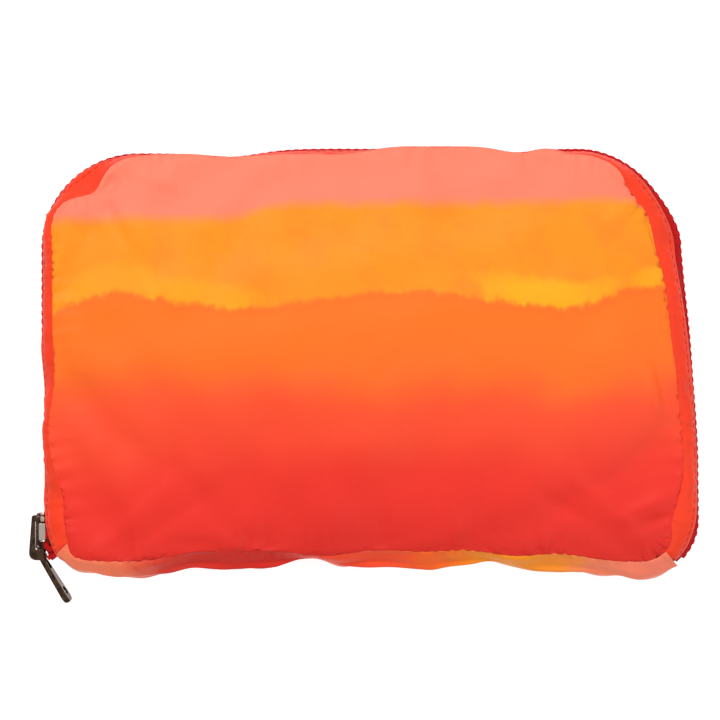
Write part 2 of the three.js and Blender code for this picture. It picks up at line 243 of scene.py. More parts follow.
def seam_line(s):
    """The panel's seam in plan. Right of the middle it rides up over the top strip."""
    point, normal = at(s)
    cuts = (d * MM * np.exp(-(((s - middle) / (reach * MM)) ** 2)) for middle, d, reach in SEAM_CUTS)
    line = point - normal * np.asarray(SEAM_INSET + sum(cuts))[..., None]
    line[..., 0] += SEAM_SHIFT[0] * smooth((line[..., 0] + 80 * MM) / (120 * MM))
    line[..., 1] += SEAM_SHIFT[1] + 0.9 * MM * smooth((line[..., 1] - 40 * MM) / (30 * MM))
    x, y = line[..., 0], line[..., 1]
    rides = smooth((x + 12 * MM) / (24 * MM)) * smooth((78 * MM - x) / (14 * MM))
    line[..., 1] += 2.8 * MM * rides * smooth(y / HALF_H)
    return settle(line)


def edge_inset(s):
    """How far the strips' folded edges stand in from the outline: most where the teeth show."""
    x, y = np.moveaxis(at(s)[0], -1, 0) / MM
    right = smooth((x - 40) / 50) * (2.0 * np.exp(-(((y - 42) / 22) ** 2)) + 0.1)
    right += 1.1 * smooth((x - 95) / 10) * smooth((-50 - y) / 12)
    low = smooth((-y - 50) / 16) * smooth(-x / 90)
    over_teeth = smooth((-x - 100) / 10) * smooth((16 - y) / 14) * smooth((y + 54) / 8)
    return EDGE_INSET + (right + 2.7 * low - 1.2 * over_teeth) * MM


def inset_line(s, inset):
    point, normal = at(s)
    return settle(point - normal * np.asarray(inset)[..., None])


def panel_plan():
    """Flat places of a panel's grid: straight rows in the middle that bend to meet the round corners."""
    plan = np.zeros((NU + 1, NV + 1, 2))
    for cell, p in zip(CELLS, seam_line(RIM_S)):
        plan[cell] = p
    u = np.linspace(0, 1, NU + 1)[:, None, None]
    v = np.linspace(0, 1, NV + 1)[None, :, None]
    left, right = plan[0][None], plan[-1][None]
    low, high = plan[:, 0][:, None], plan[:, -1][:, None]
    corners = (1 - u) * (1 - v) * plan[0, 0] + u * (1 - v) * plan[-1, 0]
    corners = corners + (1 - u) * v * plan[0, -1] + u * v * plan[-1, -1]
    return (1 - u) * left + u * right + (1 - v) * low + v * high - corners


def is_gusset(s):
    return (s < S_RIGHT) | (s > S_LEFT)


def wall_start():
    """The wall's points, row by row from the front seam to the back seam."""
    rows = []
    gusset = is_gusset(RIM_S)
    front = seam_line(RIM_S)
    for k in range(ROWS + 1):
        side = 1 if k <= ROWS / 2 else -1
        near = min(k, ROWS - k) / FRONT_EDGE
        rise = (1 - near) * SEAM_RISE + near * EDGE_RISE
        if near > 1:
            rise = EDGE_RISE * (1 - (near - 1) * FRONT_EDGE / 2)
        near = min(near, 1)
        past = np.minimum(np.abs(RIM_S - S_RIGHT), np.abs(RIM_S - S_LEFT))
        drawn = np.where(gusset, 1 - smooth(past / (16 * MM)), 1)
        edge = (0.2 * MM + (edge_inset(RIM_S) - 0.2 * MM) * drawn)[:, None]
        xy = (1 - near) * front + near * inset_line(RIM_S, edge[:, 0])
        rows.append(np.column_stack([xy, np.full(RIM, MID_Z + side * rise)]))
    rows[0][:, :2] = front
    rows[-1][:, :2] = front
    return np.array(rows)


PLAN = panel_plan()
WALL = wall_start()


def panel_start(side, crown):
    """A panel before the cloth is blown up: a low dome over its plan."""
    u = np.linspace(-1, 1, NU + 1)[:, None]
    v = np.linspace(-1, 1, NV + 1)[None, :]
    dome = crown * ((1 - u**8) * (1 - v**6)) ** 0.6
    z = MID_Z + side * (SEAM_RISE + dome)
    return np.dstack([PLAN, z])


def pouch_mesh():
    """Vertices and faces of the closed pouch, with the index grids of its panels and its wall."""
    count = (NU + 1) * (NV + 1)
    front = np.arange(count).reshape(NU + 1, NV + 1)
    back = front + count
    wall = np.zeros((ROWS + 1, RIM), int)
    wall[0] = [front[c] for c in CELLS]
    wall[-1] = [back[c] for c in CELLS]
    wall[1:-1] = 2 * count + np.arange((ROWS - 1) * RIM).reshape(ROWS - 1, RIM)
    grids = (panel_start(1, 3 * MM), panel_start(-1, 2 * MM), WALL[1:-1])
    places = np.vstack([grid.reshape(-1, 3) for grid in grids])
    around = quads(np.column_stack([wall, wall[:, :1]]))
    return places, np.vstack([quads(front), quads(back)[:, ::-1], around]), front, back, wall


def quads(grid):
    a, b = grid[:-1, :-1], grid[1:, :-1]
    c, d = grid[1:, 1:], grid[:-1, 1:]
    return np.stack([a, b, c, d], axis=-1).reshape(-1, 4)


def new_object(name, places, faces, material=None):
    mesh = bpy.data.meshes.new(name)
    mesh.from_pydata([tuple(p) for p in places], [], [tuple(int(i) for i in f) for f in faces])
    mesh.update()
    if material:
        mesh.materials.append(material)
    return linked(name, mesh)


def linked(name, data):
    obj = bpy.data.objects.new(name, data)
    bpy.context.scene.collection.objects.link(obj)
    return obj


def points_of(obj):
    mesh = obj.data
    flat = np.empty(len(mesh.vertices) * 3)
    mesh.vertices.foreach_get("co", flat)
    return flat.reshape(-1, 3)


def blown(places, faces, pinned, pressure, spare, frames):
    """The places after a cloth simulation. Pinned points stay, and spare is the share of extra cloth."""
    obj = new_object("cloth_run", places, faces)
    pin = obj.vertex_groups.new(name="pin")
    pin.add([int(i) for i in pinned], 1.0, "REPLACE")
    cloth = obj.modifiers.new("cloth", "CLOTH")
    s = cloth.settings
    s.quality = 6
    s.mass = 0.08
    s.tension_stiffness = s.compression_stiffness = 12
    s.shear_stiffness = 4
    s.bending_stiffness = 0.03
    s.tension_damping = s.compression_damping = 12
    s.air_damping = 2
    s.vertex_group_mass = "pin"
    s.shrink_min = -spare
    s.use_pressure = True
    s.uniform_pressure_force = pressure
    s.effector_weights.gravity = 0
    cloth.collision_settings.use_collision = False
    scene = bpy.context.scene
    cloth.point_cache.frame_start, cloth.point_cache.frame_end = 1, frames
    for f in range(1, frames + 1):
        scene.frame_set(f)
    seen = obj.evaluated_get(bpy.context.evaluated_depsgraph_get())
    out = points_of(seen).copy()
    bpy.data.objects.remove(obj)
    scene.frame_set(1)
    return out


# ---- Grids of points ----
def sample(grid, places, axis):
    """A grid of points read at fractional places along an axis, with a smooth curve through its points."""
    grid = np.moveaxis(grid, axis, 0)
    n = len(grid)
    base = np.minimum(np.floor(places).astype(int), n - 2)
    wide = (...,) + (None,) * (grid.ndim - 1)
    t = (places - base)[wide]

    def row(k):
        inside = grid[np.clip(base + k, 0, n - 1)]
        inside = np.where((base + k < 0)[wide], 2 * grid[0] - grid[1], inside)
        return np.where((base + k > n - 1)[wide], 2 * grid[-1] - grid[-2], inside)

    a, b, c, d = row(-1), row(0), row(1), row(2)
    out = b + 0.5 * t * (c - a + t * (2 * a - 5 * b + 4 * c - d + t * (3 * (b - c) + d - a)))
    return np.moveaxis(out, 0, axis)


def denser_at_ends(cells, count, edge=0.35):
    """Fractional places from 0 to cells, closer together near both ends."""
    t = np.linspace(-1, 1, count)
    return cells * (0.5 + 0.5 * ((1 - edge) * t + edge * np.sin(t * math.pi / 2)))


def normals_of(grid):
    """Unit normals of a grid of points, by its two directions."""
    n = np.cross(np.gradient(grid, axis=0), np.gradient(grid, axis=1))
    return n / np.maximum(np.linalg.norm(n, axis=-1, keepdims=True), 1e-12)


class Waves:
    """Soft seeded noise in one to three dimensions, from -1 to 1 or so."""

    def __init__(self, length, dims, seed, terms=14):
        r = np.random.default_rng(seed)
        k = r.normal(size=(terms, dims))
        k /= np.linalg.norm(k, axis=1, keepdims=True)
        self.k = k * (2 * math.pi / length) * r.uniform(0.55, 1.5, (terms, 1))
        self.phase = r.uniform(0, 2 * math.pi, terms)
        self.gain = 1 / math.sqrt(terms / 2)

    def __call__(self, *where):
        p = np.stack(np.broadcast_arrays(*where), axis=-1).astype(float)
        return np.sin(p @ self.k.T + self.phase).sum(axis=-1) * self.gain


def sheet_object(name, grid, pattern, material, round_again=False):
    """A mesh from a grid of points, with its flat pattern kept as an attribute."""
    rows, columns = grid.shape[:2]
    index = np.arange(rows * columns).reshape(rows, columns)
    if round_again:
        index = np.column_stack([index, index[:, :1]])
    obj = new_object(name, grid.reshape(-1, 3), quads(index), material)
    layer = obj.data.attributes.new("pattern", "FLOAT_VECTOR", "POINT")
    flat = np.zeros((rows * columns, 3))
    flat[:, :2] = pattern.reshape(-1, 2)
    layer.data.foreach_set("vector", flat.ravel())
    shade_smooth(obj)
    return obj


def shade_smooth(obj):
    obj.data.polygons.foreach_set("use_smooth", [True] * len(obj.data.polygons))
    obj.data.update()


def thicken(obj, thickness, inside=None):
    """Gives a sheet its cloth's thickness: inwards, with another material on that face, or both ways."""
    solid = obj.modifiers.new("thickness", "SOLIDIFY")
    solid.thickness = thickness
    solid.offset = -1 if inside else 0
    if inside:
        obj.data.materials.append(inside)
        solid.material_offset = 1
        solid.material_offset_rim = 1


def bevelled(obj, width, segments):
    edge = obj.modifiers.new("edges", "BEVEL")
    edge.width = width
    edge.segments = segments
    return edge


# ---- Materials ----
def linear(r, g, b):
    """Linear colour from the usual 0 to 255 values."""
    return tuple(((c / 255 + 0.055) / 1.055) ** 2.4 if c > 10 else c / 255 / 12.92 for c in (r, g, b))


class Nodes:
    """A material's node tree, with short calls for the nodes used here."""

    def __init__(self, name):
        self.material = bpy.data.materials.new(name)
        self.material.use_nodes = True
        self.tree = self.material.node_tree
        self.shader = next(n for n in self.tree.nodes if n.type == "BSDF_PRINCIPLED")

    def put(self, socket, value):
        if isinstance(value, bpy.types.NodeSocket):
            self.tree.links.new(value, socket)
        elif value is not None:
            size = len(socket.default_value) if hasattr(socket.default_value, "__len__") else 0
            if size == 4 and hasattr(value, "__len__") and len(value) == 3:
                value = (*value, 1)
            socket.default_value = value

    def node(self, kind, out=0, props=(), **inputs):
        n = self.tree.nodes.new("ShaderNode" + kind)
        for key, value in dict(props).items():
            setattr(n, key, value)
        for key, value in inputs.items():
            self.put(n.inputs[int(key[1:])] if key[1:].isdigit() else n.inputs[key], value)
        return n.outputs[out]

    def math(self, op, a, b=None, c=None, clamp=False):
        return self.node("Math", props={"operation": op, "use_clamp": clamp}, i0=a, i1=b, i2=c)

    def times(self, a, b):
        return self.math("MULTIPLY", a, b)

    def plus(self, a, b):
        return self.math("ADD", a, b)

    def less(self, a, b):
        return self.math("SUBTRACT", a, b)

    def scaled(self, a, gain, start, clamp=False):
        """a times gain, plus start."""
        return self.math("MULTIPLY_ADD", a, gain, start, clamp)

    def sine(self, a, gain):
        return self.math("SINE", self.times(a, gain))

    def split(self, vector):
        n = self.tree.nodes.new("ShaderNodeSeparateXYZ")
        self.put(n.inputs[0], vector)
        return n.outputs

    def in_mm(self, vector):
        return self.node("VectorMath", props={"operation": "SCALE"}, i0=vector, Scale=1000.0)

    def pattern(self):
        """The flat pattern's coordinates, in millimetres."""
        return self.in_mm(self.node("Attribute", 1, props={"attribute_name": "pattern"}))

    def place(self):
        """Places in the object's own frame, in millimetres."""
        return self.in_mm(self.node("TexCoord", 3))

    def noise(self, vector, scale, detail=3.0, rough=0.55, stretch=None):
        if stretch:
            vector = self.node("VectorMath", props={"operation": "MULTIPLY"}, i0=vector, i1=stretch)
        return self.node("TexNoise", Vector=vector, Scale=scale, Detail=detail, Roughness=rough)

    def step(self, value, low, high):
        """0 below low, 1 above high, and smooth between."""
        soft = {"interpolation_type": "SMOOTHSTEP"}
        return self.node("MapRange", props=soft, i0=value, i1=low, i2=high, i3=0.0, i4=1.0)

    def mix(self, factor, a, b, blend="MIX"):
        props = {"data_type": "RGBA", "blend_type": blend}
        return self.node("Mix", 2, props=props, i0=factor, i6=a, i7=b)

    def ramp(self, factor, stops):
        n = self.tree.nodes.new("ShaderNodeValToRGB")
        n.color_ramp.interpolation = "B_SPLINE"
        points = n.color_ramp.elements
        while len(points) < len(stops):
            points.new(0.5)
        for point, (where, colour) in zip(points, stops):
            point.position = where
            point.color = (*colour, 1)
        self.put(n.inputs[0], factor)
        return n.outputs[0]

    def bump(self, height, strength, distance, below=None):
        return self.node("Bump", Strength=strength, Distance=distance * MM, Height=height, Normal=below)

    def finish(self, **inputs):
        for key, value in inputs.items():
            self.put(self.shader.inputs[key.replace("_", " ")], value)
        return self.material


def weave(n, where, pitch=0.3):
    """Height of a plain weave, 0 to 1, over coordinates in millimetres."""
    x, y, _ = n.split(where)
    wobble = n.times(n.noise(where, 0.8, 2.0), 0.35)
    u, v = (n.sine(n.plus(a, wobble), math.pi / pitch) for a in (x, y))
    return n.scaled(n.times(u, v), 0.5, 0.5)


SALMON = linear(250, 128, 102)
YELLOW_ORANGE = linear(249, 146, 22)
DEEP_ORANGE = linear(248, 138, 24)
GOLD = linear(250, 172, 16)
ORANGE = linear(250, 115, 25)
RED_ORANGE = linear(248, 72, 42)
RED = linear(236, 42, 36)
DARK_RED = linear(210, 28, 28)
PEACH = linear(255, 128, 90)

# Golden blots over the bleeding edge: middle, height above it, half width, half height and strength.
GOLDEN = [
    (-86, 4.5, 26, 8.0, 0.4),
    (-55, 3.5, 22, 6.5, 0.5),
    (61, 3.2, 29, 7.0, 1.0),
    (50, 6.5, 20, 5.0, 0.5),
    (97, 3.0, 11, 6.0, 0.6),
]


def blot(n, x, above, ragged, middle, height, half_wide, half_high, gain):
    """A soft patch of colour with an uneven rim, 0 to gain."""
    across = n.scaled(x, 1 / half_wide, -middle / half_wide)
    up = n.scaled(above, 1 / half_high, -height / half_high)
    far = n.plus(n.times(across, across), n.times(up, up))
    far = n.plus(far, n.scaled(ragged, 0.9, -0.45))
    return n.times(n.step(far, 1.0, 0.1), gain)


# The lower wash, from the bottom up, with painted shade in its dark red along the panel's bottom; and the
# gusset's printed colours along its length.
LOW_STOPS = [(0.0, DARK_RED), (0.14, RED), (0.30, RED), (0.46, RED_ORANGE)]
LOW_STOPS += [(0.60, RED_ORANGE), (0.74, ORANGE), (1.0, ORANGE)]
GUSSET_STOPS = [(0.0, PEACH), (0.11, PEACH), (0.16, DARK_RED), (0.39, DARK_RED)]
GUSSET_STOPS += [(0.43, RED_ORANGE), (0.55, RED_ORANGE), (0.63, ORANGE), (0.68, YELLOW_ORANGE)]
GUSSET_STOPS += [(0.80, YELLOW_ORANGE), (0.86, SALMON), (1.0, SALMON)]


def watercolour(n, where):
    """The print: salmon, golden and orange washes that bleed into one another above a red one, darkened at
    the bottom by painted shade.
    """
    x, y, _ = n.split(where)
    grain = n.noise(where, 0.55, 5.0, 0.62)
    slow = n.noise(where, 0.022, 3.0, 0.5)
    ragged = n.noise(where, 0.12, 6.0, 0.62, (1.0, 0.55, 1.0))
    spikes = n.noise(where, 0.42, 4.0, 0.6, (1.0, 0.35, 1.0))
    wave = n.math("SINE", n.scaled(x, 2 * math.pi / 108, 0.97))
    edge = n.scaled(wave, 2.8, 14.5)
    for left, right, rise in ((-112.0, -84.0, 7.0), (72.0, 88.0, 3.0)):
        edge = n.plus(edge, n.times(n.step(x, left, right), rise))
    for source, much in ((ragged, 6.0), (spikes, 4.5), (grain, 1.6)):
        edge = n.plus(edge, n.times(n.less(source, 0.5), much))
    below = n.scaled(n.less(slow, 0.5), 26.0, y)
    tilt = n.times(n.step(x, -95.0, -20.0), 9.0)
    below = n.less(below, n.times(tilt, n.step(y, 0.0, -40.0)))
    # The lower wash darkens to dark red at the panel's bottom: painted shade.
    low = n.ramp(n.scaled(below, 1 / 100, 0.74, clamp=True), LOW_STOPS)
    above = n.less(y, edge)
    high = n.mix(n.step(n.noise(where, 0.06, 5.0, 0.65), 0.42, 0.66), YELLOW_ORANGE, DEEP_ORANGE)
    for patch in GOLDEN:
        high = n.mix(blot(n, x, above, ragged, *patch), high, GOLD)
    colour = n.mix(n.step(above, -1.4, 1.6), low, high)
    rim = n.times(n.step(above, -3.4, -0.6), n.step(above, 0.9, -0.3))
    colour = n.mix(n.times(rim, 0.28), colour, linear(247, 98, 34))
    top = n.scaled(n.step(x, -55.0, -22.0), 5.6, 49.0)
    top = n.plus(top, n.times(n.less(ragged, 0.5), 5.0))
    colour = n.mix(n.step(n.less(y, top), -2.6, 3.0), colour, SALMON)
    return n.mix(n.scaled(grain, 0.12, -0.06, clamp=True), colour, ORANGE)


def gusset_print(n, where):
    """The same print cut along its length: peach, dark red, orange and salmon."""
    x = n.split(where)[0]
    shift = n.scaled(n.less(n.noise(where, 0.09, 4.0), 0.5), 22.0, x)
    return n.ramp(n.scaled(shift, 1 / 220, 0.5, clamp=True), GUSSET_STOPS)


def plain(colour):
    """One dyed colour that varies slightly over the cloth."""

    def made(n, where):
        uneven = n.step(n.noise(where, 0.05, 3.0, 0.5), 0.35, 0.7)
        return n.mix(n.times(uneven, 0.7), colour, tuple(c * 0.86 for c in colour))

    return made


def nylon(name, colour_of, roughness=0.5, sheen=0.02, dull=0.0):
    """Thin satin nylon over its flat pattern: a close weave, slight unevenness and soft rubs."""
    n = Nodes(name)
    where = n.pattern()
    colour = colour_of(n, where)
    threads = weave(n, where)
    fuzz = n.step(n.noise(where, 3.2, 4.0, 0.7), 0.35, 0.75)
    speckle = n.step(n.noise(where, 1.2, 3.0, 0.8), 0.38, 0.64)
    rubs = n.noise(where, 0.04, 4.0, 0.6)
    colour = n.mix(n.times(n.less(1.0, threads), 0.10), colour, (0, 0, 0))
    colour = n.mix(n.times(fuzz, 0.09), colour, linear(255, 150, 90))
    darker = n.mix(1.0, colour, (0.6, 0.5, 0.5), "MULTIPLY")
    colour = n.mix(n.times(speckle, 0.10), colour, darker)
    if dull:
        colour = n.mix(dull, colour, linear(205, 120, 100))
    rough = n.scaled(threads, -0.05, n.scaled(rubs, 0.16, roughness - 0.08))
    normal = n.bump(n.noise(where, 0.35, 5.0, 0.6), 0.22, 0.5, n.bump(threads, 0.35, 0.06))
    return n.finish(
        Base_Color=colour,
        Roughness=rough,
        Specular_IOR_Level=0.16,
        Sheen_Weight=sheen,
        Sheen_Roughness=0.45,
        Sheen_Tint=(1.0, 0.8, 0.7, 1.0),
        Normal=normal,
    )


STRIP_RED = linear(248, 58, 28)
PRINT = nylon("printed_nylon", watercolour)
GUSSET_PRINT = nylon("printed_nylon_gusset", gusset_print)
STRIP = nylon("plain_nylon", plain(STRIP_RED))
PRINT_BACK = nylon("printed_nylon_back", watercolour, roughness=0.62, dull=0.4)
GUSSET_BACK = nylon("printed_nylon_gusset_back", gusset_print, roughness=0.62, dull=0.4)
LINING = nylon("nylon_inside", plain(linear(226, 96, 66)), roughness=0.62, sheen=0.15)


def thread_material(name, colour):
    n = Nodes(name)
    where = n.place()
    x, y, z = n.split(where)
    twist = n.sine(n.plus(n.plus(x, y), z), 9.0)
    fuzz = n.times(n.noise(where, 3.0, 3.0, 0.7), 0.4)
    colour = n.mix(fuzz, colour, tuple(0.55 * c for c in colour))
    normal = n.bump(twist, 0.5, 0.05)
    return n.finish(Base_Color=colour, Roughness=0.7, Specular_IOR_Level=0.1, Normal=normal)


STRIP_THREAD = thread_material("thread_red", linear(214, 44, 24))

# ---- The pouch's cloth, blown up by the bag folded inside ----
CROWN_Z = cad_high[2]
PRESSURE = 4.0
SPARE = 0.035
START, FACES, FRONT, BACK, WALL_AT = pouch_mesh()
IN_GUSSET = is_gusset(RIM_S)


def inflated():
    held = WALL_AT[FRONT_EDGE : BACK_EDGE + 1][:, ~IN_GUSSET].ravel()
    seams = WALL_AT[[0, -1]].ravel()
    return blown(START, FACES, [*held, *seams], PRESSURE, SPARE, 24)


def levelled(places):
    """The crown comes up to the front's height, and the back is pressed flat where it lies."""
    z = places[:, 2]
    seam = MID_Z + SEAM_RISE
    rise = (CROWN_Z - seam) / (z[FRONT].max() - seam)
    z[FRONT] = np.where(z[FRONT] > seam, seam + (z[FRONT] - seam) * rise, z[FRONT])
    z[BACK] = np.maximum(z[BACK], 0.15 * MM)
    return places


def tucked(places):
    """The panels hang over their seams only along the top."""
    s = np.linspace(0, LENGTH, 600, endpoint=False)
    line = seam_line(s)
    _, normal = at(s)
    for index in (FRONT, BACK):
        index = index.ravel()
        p = places[index, :2]
        gap = p[:, None] - line[None]
        k = np.hypot(gap[..., 0], gap[..., 1]).argmin(axis=1)
        over = ((p - line[k]) * normal[k]).sum(axis=1)
        keep = 0.12 + 0.88 * smooth((line[k, 1] - 50 * MM) / (14 * MM))
        places[index, :2] = p - (np.maximum(over, 0) * (1 - keep))[:, None] * normal[k]
    return places


def relaxed(places, passes=6):
    """Takes the finest ripples of the simulation out of the panels."""
    for index in (FRONT, BACK):
        for _ in range(passes):
            g = places[index]
            near = (g[:-2, 1:-1] + g[2:, 1:-1] + g[1:-1, :-2] + g[1:-1, 2:]) / 4
            places[index[1:-1, 1:-1]] = 0.5 * (g[1:-1, 1:-1] + near)
    return places


POUCH = tucked(levelled(relaxed(inflated())))


def rim_distance(flat):
    """Each flat point's distance from the panel's seam, and the outline length there."""
    s = np.linspace(0, LENGTH, 900, endpoint=False)
    line = seam_line(s)
    points = flat.reshape(-1, 2)
    near, where = np.empty(len(points)), np.empty(len(points))
    for i in range(0, len(points), 4000):
        d = np.hypot(*(points[i : i + 4000, None] - line[None]).transpose(2, 0, 1))
        k = d.argmin(axis=1)
        near[i : i + 4000], where[i : i + 4000] = d[np.arange(len(k)), k], s[k]
    return near.reshape(flat.shape[:-1]), where.reshape(flat.shape[:-1])


def pucker(s, near, seed, reach=7 * MM):
    """Short creases that run in from a seam, wider and softer away from it."""
    fine = np.tanh(0.9 * Waves(3.4 * MM, 1, seed)(s))
    wide = np.tanh(0.9 * Waves(8.5 * MM, 1, seed + 1)(s))
    strength = 0.55 + 0.45 * Waves(60 * MM, 1, seed + 2)(s)
    close = np.exp(-((near / (0.42 * reach)) ** 1.5))
    far = np.exp(-((near / reach) ** 1.5))
    return np.clip(strength, 0.15, 1.1) * (0.34 * fine * close + 0.42 * wide * far) * MM


def notches(s, near):
    """How each panel's seam is drawn in by its stitches: outward and upward shifts near the seam."""
    jitter = 1.6 * Waves(16 * MM, 1, 7)(s)
    wave = 0.5 + 0.5 * np.sin(2 * math.pi * s / (3.6 * MM) + jitter)
    deep = np.clip(0.65 + 0.5 * Waves(38 * MM, 1, 8)(s), 0.15, 1.2)
    x, y = np.moveaxis(at(s)[0], -1, 0) / MM
    calm = (1 - 0.75 * smooth((y - 55) / 15)) * (1 + 0.8 * smooth((x - 85) / 20) * smooth((y + 60) / 20))
    pull = calm * deep * wave**3 * np.exp(-((near / (2.6 * MM)) ** 1.3))
    return -0.42 * MM * pull, -0.26 * MM * pull


def notched(grid, s, near, side):
    out, up = notches(s, near)
    _, normal = at(s)
    grid[..., :2] += out[..., None] * normal
    grid[..., 2] += side * up
    return grid


# Creases: middle x, y, direction in degrees, half length, half width and height, in millimetres.
CREASES = [
    (-89.5, 62, 60, 3.8, 2.2, -1.0),
    (-93, 56, 20, 5, 2.2, 0.35),
    (-95, 50, -8, 13, 3.4, 0.6),
    (-82, 48, -55, 15, 2.6, 0.3),
    (-86, 46, -55, 16, 2.4, -0.25),
    (-72, 62, -20, 12, 2.2, 0.35),
    (-80, -52, 40, 22, 3.0, 0.55),
    (-70, -55, 35, 24, 3.2, -0.5),
    (-93, -30, 70, 24, 3.4, 0.4),
    (-45, -60, 75, 9, 2.4, 0.4),
    (82, -50, 140, 22, 3.4, 0.7),
    (74, -55, 146, 22, 3.2, -0.6),
    (98, -55, 20, 8, 2.4, -0.9),
    (95, -49, 25, 12, 2.6, 0.7),
    (95, -6, -78, 9, 2.4, 0.6),
    (98.5, -8, -80, 8, 1.8, -0.5),
    (1, 1, 49, 10, 3.2, 0.35),
    (94, 24, -12, 16, 2.8, 0.5),
    (92, 33, -18, 14, 2.8, -0.45),
    (86, 52, 40, 13, 2.6, 0.5),
    (30, -60, 96, 9, 2.6, 0.4),
    (4, -59, 86, 9, 2.6, -0.35),
    (60, -60, 104, 10, 2.6, 0.45),
]


def creased(flat, side):
    """Heights of the longer creases over a panel's flat pattern."""
    x, y = flat[..., 0] / MM, flat[..., 1] / MM
    out = np.zeros(x.shape)
    for cx, cy, deg, half_long, half_wide, height in CREASES:
        a = math.radians(deg)
        along = (x - side * cx) * math.cos(a) * side + (y - cy) * math.sin(a)
        across = -(x - side * cx) * math.sin(a) * side + (y - cy) * math.cos(a)
        out += 1.35 * height * np.exp(-((along / half_long) ** 2) - (across / half_wide) ** 2)
    return out * MM


def panel(name, index, side, body, node, seed):
    """One panel: the blown cloth made finer, with its seam drawn in and its creases."""
    rows = denser_at_ends(NU, 250)
    columns = denser_at_ends(NV, 176)
    grid = sample(sample(POUCH[index], rows, 0), columns, 1)
    flat = sample(sample(PLAN, rows, 0), columns, 1)
    near, s = rim_distance(flat)
    normal = normals_of(grid) * side
    lift = pucker(s, near, seed)
    lift += creased(flat, side) * smooth(near / (2.5 * MM))
    lift += 0.32 * MM * Waves(30 * MM, 2, seed + 5)(flat[..., 0], flat[..., 1]) * smooth(near / (12 * MM))
    lift = lift * smooth(near / (1.4 * MM))
    if side < 0:
        lift = lift * smooth(grid[..., 2] / (5 * MM))
    grid = notched(grid + normal * lift[..., None], s, near, side)
    grid[..., 2] = np.maximum(grid[..., 2], 0.02 * MM)
    obj = sheet_object(name, grid, flat, PRINT)
    if side < 0:
        obj.data.flip_normals()
    thicken(obj, 0.3 * MM, PRINT_BACK)
    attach(obj, body)
    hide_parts(node)


panel("front_panel_cloth", FRONT, 1, "lid", "front_panel", 11)
panel("back_panel_cloth", BACK, -1, "case", "back_panel", 31)

# ---- The strips between each panel and the zipper, and the bottom gusset ----
LAP = 2  # columns of the strips' ends that run under the gusset
FIRST = int(np.argmax(~IN_GUSSET))
LAST = RIM - int(np.argmax(~IN_GUSSET[::-1]))
BAND = np.arange(FIRST - LAP, LAST + LAP)
GUSSET = np.concatenate([np.arange(LAST - 1, RIM), np.arange(0, FIRST + 1)])


def band_lengths(columns, places):
    """Outline lengths at fractional places along a run of wall columns."""
    s = RIM_S[columns].copy()
    s[1:] += LENGTH * np.cumsum(np.diff(s) < -LENGTH / 2)
    return sample(s[:, None], places, 0)[:, 0]


def stitches(name, lines, side, body, material, pitch=2.7 * MM, length=1.9 * MM):
    """A run of stitches pressed into the cloth along the middle of three neighbouring lines."""
    middle = lines[1]
    across = lines[2] - lines[0]
    run = run_of(middle)
    stations = np.arange(pitch, run[-1] - pitch, pitch)
    put = read(stations, run, middle)
    along = unit(read(stations + pitch / 2, run, middle) - put)
    up = unit(side * np.cross(read(stations, run, across), along))
    axes = (along, np.cross(along, up), up)
    shape, faces = bead(length / 2, 0.2 * MM, 0.2 * MM)
    points = put[:, None] + sum(shape[None, :, k, None] * v[:, None] for k, v in enumerate(axes))
    count = len(shape)
    all_faces = [tuple(v + i * count for v in f) for i in range(len(put)) for f in faces]
    obj = new_object(name, points.reshape(-1, 3), all_faces, material)
    shade_smooth(obj)
    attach(obj, body)


def bead(a, b, c, around=8, rings=5):
    """A small ellipsoid: points and faces, longest along the first axis."""
    points = [(-a, 0, 0)]
    for t in np.linspace(0, math.pi, rings + 2)[1:-1]:
        r = math.sin(t) ** 0.6
        for q in np.linspace(0, 2 * math.pi, around, endpoint=False):
            points.append((-a * math.cos(t), b * r * math.cos(q), c * r * math.sin(q)))
    points.append((a, 0, 0))
    faces = [(0, 1 + (i + 1) % around, 1 + i) for i in range(around)]
    for k in range(rings - 1):
        m = 1 + k * around
        for i in range(around):
            j = (i + 1) % around
            faces.append((m + i, m + j, m + around + j, m + around + i))
    last, m = len(points) - 1, 1 + (rings - 1) * around
    faces += [(m + i, m + (i + 1) % around, last) for i in range(around)]
    return np.array(points), faces


